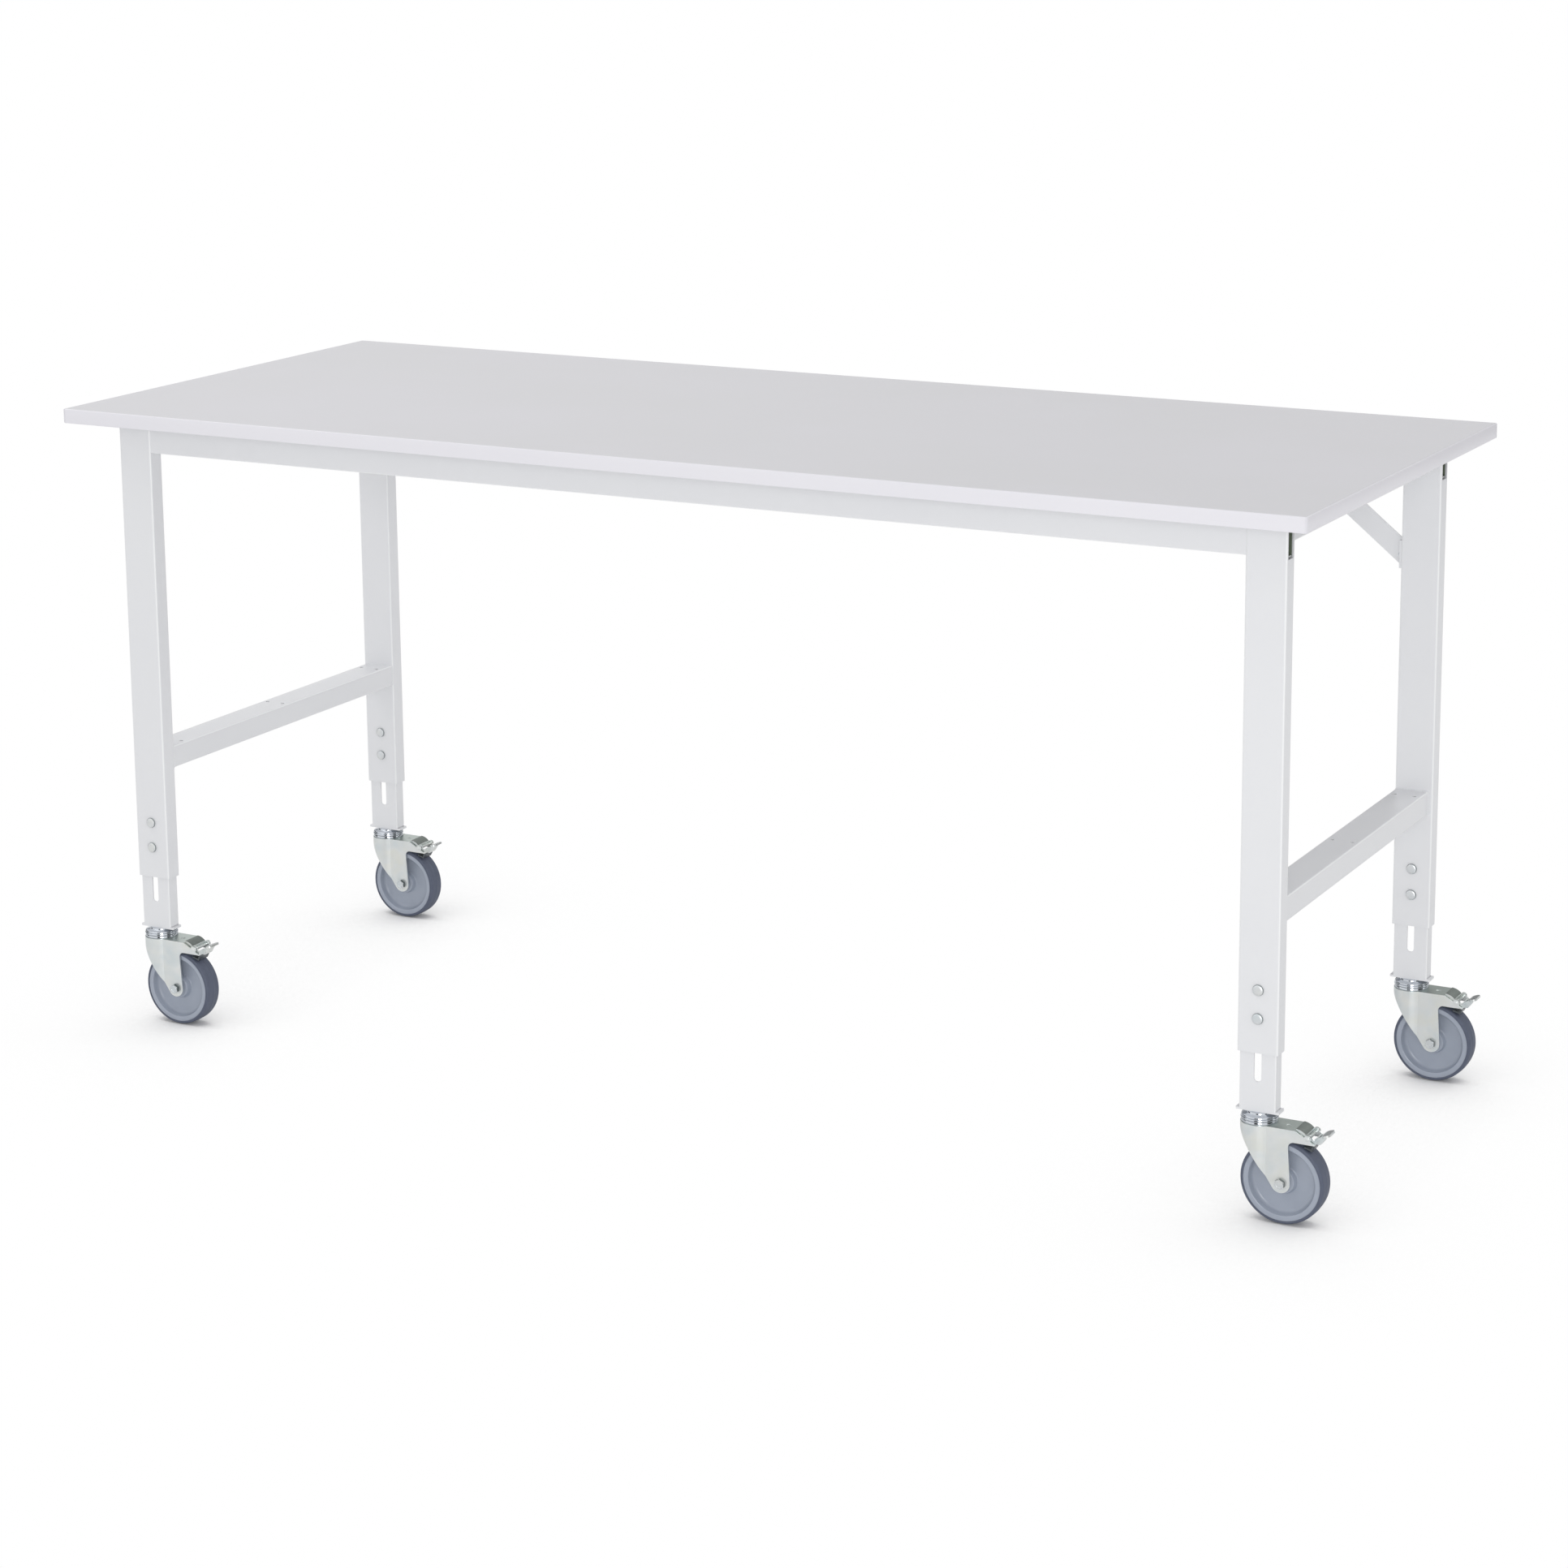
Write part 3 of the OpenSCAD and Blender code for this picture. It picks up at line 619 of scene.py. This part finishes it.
crown_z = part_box(f"race_{MADE_AT}")[0].z
half_w = (swivels[MADE_AT].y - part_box(f"brake_pin_{MADE_AT}")[0].y - RIVET_H) / mm


def above(tree, coordinate, level, soft=0.2 * mm):
    """A mask that is 1 where a coordinate is above level."""
    return add_node(
        tree, "MapRange", {"From Min": level - soft, "From Max": level + soft}, {0: coordinate}
    ).outputs[0]


def zinc_plate(name, light="#eef0ef", shade="#dce1e0", rough=(0.3, 0.42)):
    """Passivated zinc plate: silver with faint straw and blue tints, over the sheet's fine grain.

    Gives the material and what a variant needs: its tree, shader and place, its colour, and the
    three numbers of the way that a surface faces.
    """
    finish, tree, shader, place = new_finish(name, Metallic=0.82)
    grain = add_node(
        tree, "TexNoise", {"Scale": 1 / ROLLED_GRAIN, "Detail": 4.0, "Roughness": 0.7},
        {"Vector": place},
    )
    patch = add_node(tree, "TexNoise", {"Scale": 1 / TINT_PATCH, "Detail": 2.0}, {"Vector": place})
    tint = add_node(
        tree, "TexNoise",
        {"Scale": 1 / TINT_PATCH, "Detail": 1.0, "noise_dimensions": "4D", "W": 3.0},
        {"Vector": place},
    )
    colour = mixed(tree, shade, light, patch.outputs[0])
    straw = add_node(
        tree, "MapRange", {"From Min": 0.5, "From Max": 0.75, "To Max": 0.28}, {0: tint.outputs[0]}
    )
    colour = mixed(tree, colour, STRAW, straw.outputs[0])
    blue = add_node(
        tree, "MapRange", {"From Min": 0.25, "From Max": 0.5, "To Min": 0.45, "To Max": 0.0},
        {0: tint.outputs[0]},
    )
    colour = mixed(tree, colour, BLUE, blue.outputs[0])
    tilt = add_node(
        tree, "SeparateXYZ", {}, {0: add_node(tree, "NewGeometry").outputs["Normal"]}
    ).outputs
    tree.links.new(colour, shader.inputs["Base Color"])
    vary(tree, shader.inputs["Roughness"], *rough, grain.outputs[0])
    bump = add_node(
        tree, "Bump", {"Strength": 0.2, "Distance": 0.03 * mm}, {"Height": grain.outputs[0]}
    )
    tree.links.new(bump.outputs[0], shader.inputs["Normal"])
    return finish, tree, shader, place, colour, tilt


# Where the zinc faces upwards, on the crown above all, it is painted darker grey-green in grainy
# patches, as shade
fork_zinc, tree, shader, place, colour, tilt = zinc_plate("passivated_zinc_fork")
top_shade_grain = add_node(tree, "TexNoise", {"Scale": 1 / SHADE_GRAIN_SIZE, "Detail": 4.0}, {"Vector": place})
painted_top_shade = mixed(tree, TOP_SHADE_DARK, TOP_SHADE_PALE, top_shade_grain.outputs[0])
tree.links.new(
    mixed(tree, colour, painted_top_shade, above(tree, tilt[2], 0.7, 0.15)), shader.inputs["Base Color"]
)
for leg in swivels:
    nodes[f"fork_{leg}"].material_slots[0].material = fork_zinc
    soften(f"fork_{leg}", FORK_ARRIS)

# ---------------------------------------------------------------------------------------- Swivels
# Two ball races that a king pin holds together. The upper one carries the threaded stud, which a
# nut clamps to the foot plate. Both are deep drawn, and bright nickel-chrome plated.

RACE_R = 26.0
RACE_STEPS = 96
POLISH_LINE = 0.6 * mm  # finer on a real one, drawn coarse enough to show
POLISH_STRETCH = 30
UPPER_FOOT = 5.0
HEAD_TOP = 14.5
KING_R = 7.0
KING_HEAD_R = 10.5
STUD_R = 5.0
STUD_TOP = 28.5
STUD_PITCH = 1.5
STUD_NUT = 17
NECK_R = 17.0
CHROME_SHADE = "#bcc2ca"
CHROME_LIGHT = "#d9dde2"
PLATING_HAZE = 4.167 * mm


def thread(radius, start, end, pitch):
    """A screw thread's outline, as rings, from start to end along its axis."""
    depth = 0.6 * pitch
    turns = round((end - start) / pitch)
    outline = [Vector((radius - depth, start))]
    for turn in range(turns):
        crest = start + (end - start) * (turn + 0.5) / turns
        root = crest + (end - start) * 0.5 / turns
        outline += [Vector((radius, crest)), Vector((radius - depth, root))]
    return outline


def hexagon(name, centre, across_flats, start, end, axis, chamfered=(True, True)):
    """A hexagonal nut or bolt head whose corners are turned down at 30 degrees."""
    half = (end - start) / 2
    corner_r = across_flats / 2 / math.cos(math.radians(30))
    bpy.ops.object.select_all(action="DESELECT")
    bpy.ops.mesh.primitive_cylinder_add(
        vertices=6, radius=corner_r * mm, depth=2 * half * mm, end_fill_type="NGON",
        location=(0, 0, 0),
    )
    piece = bpy.context.object
    piece.name = name
    bpy.ops.object.mode_set(mode="EDIT")
    bpy.ops.mesh.select_all(action="SELECT")
    bpy.ops.mesh.subdivide(number_cuts=9)
    bpy.ops.object.mode_set(mode="OBJECT")
    for vertex in piece.data.vertices:
        reach = math.hypot(vertex.co.x, vertex.co.y) / mm
        turned_down = max(0.0, reach - 0.97 * across_flats / 2) * math.tan(math.radians(30))
        if vertex.co.z > 0 and chamfered[1]:
            vertex.co.z = min(vertex.co.z, (half - turned_down) * mm)
        if vertex.co.z < 0 and chamfered[0]:
            vertex.co.z = max(vertex.co.z, (turned_down - half) * mm)
    if axis == "Y":
        piece.data.transform(Matrix.Rotation(math.radians(-90), 4, "X"))
        along = Vector((0, 1, 0))
    else:
        along = Vector((0, 0, 1))
    piece.data.transform(Matrix.Translation(centre + along * (start + half) * mm))
    bpy.ops.object.shade_smooth_by_angle(angle=math.radians(20))
    return piece


def joined(*pieces):
    """Joins pieces into the first one."""
    bpy.ops.object.select_all(action="DESELECT")
    for piece in pieces:
        piece.select_set(True)
    bpy.context.view_layer.objects.active = pieces[0]
    bpy.ops.object.join()
    return pieces[0]


# Nickel-chrome plate over polished steel: mirror bright, with fine lines round it and some haze
bright_plate, tree, shader, place = new_finish("nickel_chrome_plate", Metallic=1.0)
polished = add_node(tree, "Mapping", {"Scale": (1, 1, POLISH_STRETCH)}, {"Vector": place})
lines = add_node(
    tree, "TexNoise", {"Scale": 1 / (POLISH_STRETCH * POLISH_LINE), "Detail": 2.0},
    {"Vector": polished.outputs[0]},
)
haze = add_node(tree, "TexNoise", {"Scale": 1 / PLATING_HAZE, "Detail": 3.0}, {"Vector": place})
vary(tree, shader.inputs["Base Color"], CHROME_SHADE, CHROME_LIGHT, haze.outputs[0])
vary(tree, shader.inputs["Roughness"], 0.08, 0.2, lines.outputs[0])

crown = swivels[MADE_AT].copy()
crown.z = crown_z
lower_race = turned("lower_race", rounded([
    (KING_R + 0.1, 0, 0), (RACE_R - 1.2, 0, 0), (RACE_R - 1.2, 0.7, 0.3), (RACE_R - 0.5, 1.0, 0.5),
    (RACE_R - 1.3, 4.5, 0.9), (RACE_R - 3.6, 4.5, 0.4), (RACE_R - 4.2, 3.9, 0.3),
    (KING_R + 0.1, 3.9, 0),
]), crown, "Z", RACE_STEPS, closed=True)
at_each_leg(lower_race, "swivel_race", "swivel", "race", bright_plate)

stack = rounded([
    (0, -6.0, 0), (KING_R, -6.0, 0.4), (KING_HEAD_R, -3.0, 0.4), (KING_R, -3.0, 0),
    (KING_R, UPPER_FOOT, 0), (RACE_R, UPPER_FOOT, 0.8), (RACE_R - 0.8, 7.9, 0.9),
    (RACE_R - 2.0, 8.0, 0.25), (RACE_R - 2.0, 8.4, 0.25), (RACE_R - 0.8, 8.5, 0.5),
    (RACE_R - 1.4, 10.5, 1.0), (RACE_R - 6.0, 11.5, 3.0), (NECK_R + 0.5, 12.6, 0.6),
    (NECK_R, HEAD_TOP, 0.5), (STUD_R, HEAD_TOP, 0),
])
stack += thread(STUD_R, HEAD_TOP + 0.1, STUD_TOP - 0.8, STUD_PITCH)
stack += [Vector((STUD_R - 1.6, STUD_TOP)), Vector((0, STUD_TOP))]
head = joined(
    turned("swivel_head", stack, crown, "Z", RACE_STEPS),
    hexagon("stud_nut", crown, STUD_NUT, HEAD_TOP + 3.0, HEAD_TOP + 11.0, "Z"),
)
at_each_leg(head, "swivel_head", "leg", "castor_head", bright_plate)

# ---------------------------------------------------------------------------------------- Axles
# An M8 bolt through the fork, the spacer tube and the wheel: a hexagon head on the user's side and
# a self-locking nut with its plastic ring behind. Both are zinc plated.

AXLE_R = 4.0
HEAD_H = 5.3
HEAD_FACE_R = 6.0
DISH_R = 3.6
DISH_IN = 0.5
NUT_H = 8.0
NUT_HEX_H = 6.0
COLLAR_R = 6.2
AXLE_OUT = 9.5
HEX_M8 = 13.0
M8_PITCH = 1.25
# painted shade on the axle bolt's sides
AXLE_SIDE_SHADE = "#5f6668"

# Bright zinc on a cold-headed bolt: its end faces are pale; its flats and sides are painted shade
axle_zinc, tree, shader, _, colour, tilt = zinc_plate(
    "bright_zinc_axle", "#e6e9eb", "#d3d9dc", (0.18, 0.3)
)
side_shade_mask = inside(tree, tilt[1], 0, 0.6)
tree.links.new(mixed(tree, colour, AXLE_SIDE_SHADE, side_shade_mask), shader.inputs["Base Color"])
axle_at = axles[MADE_AT]
shank = [
    Vector((0, -half_w - 0.2)), Vector((AXLE_R, -half_w - 0.2)), Vector((AXLE_R, half_w + NUT_H)),
    *thread(AXLE_R, half_w + NUT_H, half_w + AXLE_OUT, M8_PITCH), Vector((0, half_w + AXLE_OUT)),
]
head_face = -half_w - HEAD_H
dished = rounded([
    (0, head_face + DISH_IN, 0), (DISH_R, head_face + DISH_IN, 0.3),
    (DISH_R + 0.5, head_face, 0.3), (HEAD_FACE_R, head_face, 0.4),
    (HEAD_FACE_R, head_face + 1.0, 0), (0, head_face + 1.0, 0),
])
nut_face = half_w + NUT_H
collar = rounded([
    (AXLE_R, half_w + NUT_HEX_H - 0.2, 0), (COLLAR_R + 0.15, half_w + NUT_HEX_H - 0.2, 0),
    (COLLAR_R, nut_face, 1.4), (AXLE_R + 0.6, nut_face, 0.5), (AXLE_R + 0.4, nut_face - 0.9, 0),
    (AXLE_R, nut_face - 0.9, 0),
])
axle = joined(
    turned("axle_bolt", shank, axle_at, "Y", 48),
    turned("axle_head_face", dished, axle_at, "Y", 48),
    hexagon("axle_head", axle_at, HEX_M8, head_face + 0.12, -half_w, "Y", (True, False)),
    hexagon("axle_nut", axle_at, HEX_M8, half_w, half_w + NUT_HEX_H, "Y", (False, True)),
    turned("axle_nut_collar", collar, axle_at, "Y", 48, closed=True),
)
at_each_leg(axle, "axle_bolt", "swivel", "axle", axle_zinc)

# ---------------------------------------------------------------------------------------- Brakes
# A rocking pedal of pressed sheet, riveted between the fork's arms. Its cover, in front of the pin,
# releases the brake and is knurled for the shoe; the tread behind it presses the tongue down.

PEDAL_ARRIS = 0.3 * mm
KNURL = 1.3 * mm
PIN_OUT = 75 * mm
PIN_UP = 128.5 * mm
PIN_R = 2.5
RIVET_R = 3.2
COVER_END = 3.2 * mm
TREAD_START = 93 * mm
TONGUE_TOP = 119 * mm
# cover colours: grainy zinc painted dark as shade
COVER_PAINTED_DARK = "#6d736f"
COVER_PAINTED_PALE = "#8f9692"
TREAD_SHADE = "#a3a7a9"
TREAD_LIGHT = "#b9bdbe"
# tongue colour: painted dark as shade under the arms
TONGUE_PAINTED_SHADE = "#5b6064"


def pedal_zinc(leg):
    """Zinc plate: grainy on the knurled cover, painted dark as shade there and on the tongue."""
    finish, tree, shader, place, colour, tilt = zinc_plate(f"passivated_zinc_pedal_{leg}")
    x, _, z = add_node(tree, "SeparateXYZ", {}, {0: place}).outputs
    behind = above(tree, x, swivels[leg].x + PIN_OUT - COVER_END)
    front = add_node(tree, "Math", {"operation": "SUBTRACT", 0: 1.0}, {1: behind}).outputs[0]
    cover = both(tree, front, above(tree, tilt[2], 0.25, 0.05))
    knurl = add_node(
        tree, "TexVoronoi", {"feature": "DISTANCE_TO_EDGE", "Scale": 1 / KNURL}, {"Vector": place}
    ).outputs["Distance"]
    grit = add_node(
        tree, "TexNoise", {"Scale": 1 / KNURL, "Detail": 5.0}, {"Vector": place}
    ).outputs[0]
    # the cover's upper faces are painted dark as shade, in grainy patches
    colour = mixed(tree, colour, mixed(tree, COVER_PAINTED_DARK, COVER_PAINTED_PALE, grit), cover)
    above_tongue = above(tree, z, TONGUE_TOP)
    tongue = add_node(tree, "Math", {"operation": "SUBTRACT", 0: 1.0}, {1: above_tongue}).outputs[0]
    # the tongue, below the arms, is painted dark grey as shade
    colour = mixed(tree, colour, TONGUE_PAINTED_SHADE, tongue)
    # the tread's top is drawn a darker grey
    beyond = above(tree, x, swivels[leg].x + TREAD_START)
    tread = both(tree, beyond, above(tree, tilt[2], 0.5, 0.05))
    colour = mixed(tree, colour, mixed(tree, TREAD_SHADE, TREAD_LIGHT, grit), tread)
    tree.links.new(colour, shader.inputs["Base Color"])
    vary(tree, shader.inputs["Roughness"], 0.32, 0.55, cover)
    raised = both(tree, knurl, cover)
    bump = add_node(tree, "Bump", {"Strength": 0.8, "Distance": 0.25 * mm}, {"Height": raised})
    tree.links.new(bump.outputs[0], shader.inputs["Normal"])
    return finish


for leg in swivels:
    nodes[f"pedal_{leg}"].material_slots[0].material = pedal_zinc(leg)
    soften(f"pedal_{leg}", PEDAL_ARRIS)

# The pin's ends are riveted over into low buttons
centre = Vector((swivels[MADE_AT].x + PIN_OUT, swivels[MADE_AT].y, PIN_UP))
rivet = rounded([
    (0, -half_w - 0.9, 0), (1.2, -half_w - 0.9, 0.5), (RIVET_R - 0.3, -half_w - 0.4, 0.5),
    (RIVET_R, -half_w, 0.1), (PIN_R, -half_w, 0), (PIN_R, 0, 0),
])
rivet += [Vector((p.x, -p.y)) for p in reversed(rivet[:-1])]
pin = turned("brake_pin", rivet, centre, "Y", 40)
at_each_leg(pin, "brake_rivet", "swivel", "brake_pin", fork_zinc)

# ---------------------------------------------------------------------------------------- Clamp bolts
# Two M8 bolts hold each inner leg at its height: a low round head in front, and behind the tube a
# washer and a hexagon nut, from which the last turns of the thread stand out.

BOLT_R = 4.0
PAN_R = 8.0
PAN_H = 4.0
WASHER_T = 1.6
CLAMP_NUT_H = 6.5
CLAMP_OUT = 2.0
CLAMP_PITCH = 0.9
# painted shade round the clamp bolts' sides
BOLT_SIDE_SHADE = "#9ba1a2"

low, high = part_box(f"outer_leg_{MADE_AT}")
tube_half = (high.y - low.y) / 2 / mm
low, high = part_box(f"clamp_bolts_{MADE_AT}")
bolts = []
for z in (low.z + PAN_R * mm, high.z - PAN_R * mm):
    at = Vector((swivels[MADE_AT].x, swivels[MADE_AT].y, z))
    face = -tube_half - PAN_H
    nut_end = tube_half + WASHER_T + CLAMP_NUT_H
    body = rounded([
        (0, face, 0), (5.4, face + 0.25, 4.0), (7.3, face + 1.0, 1.0),
        (PAN_R, face + PAN_H - 1.0, 0.5), (PAN_R - 0.8, face + PAN_H, 0),
        (BOLT_R, face + PAN_H, 0), (BOLT_R, nut_end, 0),
    ])
    body += thread(BOLT_R, nut_end, nut_end + CLAMP_OUT - 0.2, CLAMP_PITCH)
    body += [Vector((0, nut_end + CLAMP_OUT))]
    washer = rounded([
        (BOLT_R, tube_half, 0), (PAN_R, tube_half, 0.3), (PAN_R, tube_half + WASHER_T, 0.3),
        (BOLT_R, tube_half + WASHER_T, 0),
    ])
    bolts += [
        turned("clamp_bolt", body, at, "Y", 64),
        turned("washer", washer, at, "Y", 64, closed=True),
        hexagon("clamp_nut", at, HEX_M8, tube_half + WASHER_T, nut_end, "Y"),
    ]
clamp = joined(*bolts)

# Barrel-plated zinc: a soft grey head, painted darker round its side as shade
bolt_zinc, tree, shader, _, colour, tilt = zinc_plate(
    "dull_zinc_bolt", "#e6e8e9", "#d8dbdd", (0.38, 0.5)
)
side = inside(tree, tilt[1], 0, 0.6)
tree.links.new(mixed(tree, colour, BOLT_SIDE_SHADE, side), shader.inputs["Base Color"])
at_each_leg(clamp, "clamp_bolts", "bench", "clamp_bolts", bolt_zinc)

# ---------------------------------------------------------------------------------------- Guides
# Injection-moulded plugs, pressed into the tops of the inner legs. They run in the outer tubes and
# keep steel from rubbing on the coat.

GUIDE_ARRIS = 0.5 * mm
GUIDE_SHADE = "#6b6e71"
GUIDE_LIGHT = "#76797c"

# Polyamide: dark grey and matt, with the mould's grain
guide_plastic, tree, shader, place = new_finish("moulded_polyamide", IOR=1.53)
grain = add_node(tree, "TexNoise", {"Scale": 1 / MOULD_GRAIN, "Detail": 3.0}, {"Vector": place})
vary(tree, shader.inputs["Base Color"], GUIDE_SHADE, GUIDE_LIGHT, grain.outputs[0])
vary(tree, shader.inputs["Roughness"], 0.45, 0.6, grain.outputs[0])
for leg in swivels:
    nodes[f"guide_{leg}"].material_slots[0].material = guide_plastic
    soften(f"guide_{leg}", GUIDE_ARRIS)

# ---------------------------------------------------------------------------------------- Screws
# Round-headed screws with a hexagon socket: up through the top cross rails into the board, and
# smaller ones through the flanges of the braces into leg and rail.

SCREW_R = 4.5
SCREW_H = 2.4
SHANK_R = 2.4
SOCKET_AF = 3.0
SCREW_END = 48 * mm
FLANGE_Y = 6.5 * mm
BRACE_SCREW_UP = 20.6 * mm
BRACE_SCREW_IN = 25.4 * mm
BRACE_T = 4 * mm
BRACE_SCREW_SCALE = 7 / 9

# Bright zinc on small screws: smooth, and a little darker than the plate on the forks
fastener_zinc = zinc_plate("bright_zinc_fastener", "#d3d7da", "#bcc3c8", (0.22, 0.34))[0]

origin = Vector((0, 0, 0))
screw = turned("screw", rounded([
    (0, -2.0, 0), (SHANK_R, -2.0, 0), (SHANK_R, 0, 0), (SCREW_R, 0, 0.2), (SCREW_R, 1.0, 1.0),
    (SHANK_R + 0.2, SCREW_H, 1.2), (0, SCREW_H, 0),
]), origin, "Z", 48)
socket = hexagon("socket", origin, SOCKET_AF, 0.9, 4.0, "Z", (False, False))
sunk = screw.modifiers.new("socket", "BOOLEAN")
sunk.operation = "DIFFERENCE"
sunk.object = socket
bpy.context.view_layer.objects.active = screw
bpy.ops.object.modifier_apply(modifier="socket")
bpy.data.objects.remove(socket)

downwards = Matrix.Rotation(math.pi, 4, "X")
turns = []
for side in ("left", "right"):
    low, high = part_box(f"top_cross_{side}")
    for y in (low.y + SCREW_END, (low.y + high.y) / 2, high.y - SCREW_END):
        turns.append(Matrix.Translation(((low.x + high.x) / 2, y, low.z)) @ downwards)
    low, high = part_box(f"brace_{side}")
    away = -1 if side == "right" else 1
    leg_x = high.x if side == "right" else low.x
    rail_x = low.x + BRACE_SCREW_IN if side == "right" else high.x - BRACE_SCREW_IN
    middle = (low.y + high.y) / 2 - FLANGE_Y
    small = Matrix.Scale(BRACE_SCREW_SCALE, 4)
    turns.append(
        Matrix.Translation((leg_x + away * BRACE_T, middle, low.z + BRACE_SCREW_UP))
        @ Matrix.Rotation(away * math.pi / 2, 4, "Y") @ small
    )
    turns.append(Matrix.Translation((rail_x, middle, high.z - BRACE_T)) @ downwards @ small)
screws = []
for turn in turns:
    twin = screw.copy()
    twin.data = screw.data.copy()
    scene.collection.objects.link(twin)
    twin.data.transform(turn)
    screws.append(twin)
bpy.data.objects.remove(screw)
screws = joined(*screws)
screws.name = "socket_screws"
bpy.ops.object.shade_smooth_by_angle(angle=math.radians(35))
screws.data.materials.clear()
screws.data.materials.append(fastener_zinc)
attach(screws, "bench")
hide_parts("frame_screws")

# ---------------------------------------------------------------------------------------- Welds
# Fillet welds under the coat: round the ends of the cross rails, and along both ends of each foot
# plate. The bead has the fine ripple that a welding torch leaves.

BEAD_R = 1.2 * mm
FOOT_BEAD_R = 0.9 * mm
RIPPLE = 2.54 * mm
DIAGONAL_WAVE = 2 * math.pi / (10 * math.sqrt(3))  # as WAVE_LENGTH, for diagonal bands
TUBE_CORNER = 3 * mm
BEAD_IN = 0.4 * BEAD_R
CUT_BELOW = 0.98 * TUBE_CORNER
INNER_LEG_W = 52 * mm
PLATE_T = 3 * mm
RUN_OFF = 2 * mm

# Powder coat over a bead: a little duller than on the tube, and rippled
weld_coat, tree, shader, place = new_finish("powder_coat_over_weld", IOR=1.5)
ripple = add_node(
    tree, "TexWave",
    {
        "bands_direction": "DIAGONAL", "Scale": DIAGONAL_WAVE / RIPPLE,
        "Distortion": 2.0, "Detail": 2.0,
    },
    {"Vector": place},
)
vary(tree, shader.inputs["Base Color"], COAT_SHADE, COAT_LIGHT, ripple.outputs["Fac"])
vary(tree, shader.inputs["Roughness"], 0.34, 0.46, ripple.outputs["Fac"])
bump = add_node(
    tree, "Bump", {"Strength": 0.25, "Distance": 0.1 * mm}, {"Height": ripple.outputs["Fac"]}
)
tree.links.new(bump.outputs[0], shader.inputs["Normal"])


def bead(name, low, high, y, open_top=False):
    """A weld bead round a tube of the box's width and height, in the plane at y."""
    bpy.ops.object.select_all(action="DESELECT")
    bpy.ops.mesh.primitive_plane_add(
        size=1, location=((low.x + high.x) / 2, y, (low.z + high.z) / 2),
        rotation=(math.pi / 2, 0, 0),
    )
    piece = bpy.context.object
    piece.name = name
    piece.scale = (high.x - low.x, high.z - low.z, 1)
    bpy.ops.object.transform_apply(location=True, rotation=True, scale=True)
    bpy.ops.object.mode_set(mode="EDIT")
    bpy.ops.mesh.select_all(action="SELECT")
    bpy.ops.mesh.bevel(offset=TUBE_CORNER, segments=4, affect="VERTICES")
    bpy.ops.mesh.select_all(action="SELECT")
    bpy.ops.mesh.delete(type="ONLY_FACE")
    bpy.ops.object.mode_set(mode="OBJECT")
    if open_top:
        for vertex in piece.data.vertices:
            vertex.select = vertex.co.z > high.z - CUT_BELOW
        bpy.ops.object.mode_set(mode="EDIT")
        bpy.ops.mesh.delete(type="VERT")
        bpy.ops.object.mode_set(mode="OBJECT")
    bpy.ops.object.convert(target="CURVE")
    piece = bpy.context.object
    piece.data.bevel_depth = BEAD_R
    piece.data.bevel_resolution = 3
    piece.data.use_fill_caps = True
    bpy.ops.object.convert(target="MESH")
    bpy.ops.object.shade_smooth()
    return bpy.context.object


beads = []
for side in ("left", "right"):
    for rail, open_top in ((f"crossbar_{side}", False), (f"top_cross_{side}", True)):
        low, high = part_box(rail)
        for y in (low.y + BEAD_IN, high.y - BEAD_IN):
            beads.append(bead("weld", low, high, y, open_top))
welds = joined(*beads)
welds.name = "cross_rail_welds"
welds.data.materials.clear()
welds.data.materials.append(weld_coat)
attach(welds, "bench")

for leg, swivel in swivels.items():
    low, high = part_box(f"inner_leg_{leg}")
    plate_z = low.z + PLATE_T
    runs = []
    for side in (-1, 1):
        bpy.ops.object.select_all(action="DESELECT")
        bpy.ops.mesh.primitive_cylinder_add(
            vertices=10, radius=FOOT_BEAD_R, depth=high.y - low.y - 2 * RUN_OFF,
            rotation=(math.pi / 2, 0, 0),
            location=(swivel.x + side * INNER_LEG_W / 2, swivel.y, plate_z),
        )
        run = bpy.context.object
        bpy.ops.object.transform_apply(location=True, rotation=True, scale=True)
        bpy.ops.object.mode_set(mode="EDIT")
        bpy.ops.mesh.select_all(action="SELECT")
        bpy.ops.mesh.bevel(offset=FOOT_BEAD_R * 0.6, segments=2, affect="EDGES")
        bpy.ops.object.mode_set(mode="OBJECT")
        bpy.ops.object.shade_smooth()
        runs.append(run)
    foot_weld = joined(*runs)
    foot_weld.name = f"foot_plate_weld_{leg}"
    foot_weld.data.materials.append(weld_coat)
    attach(foot_weld, f"leg_{leg}")
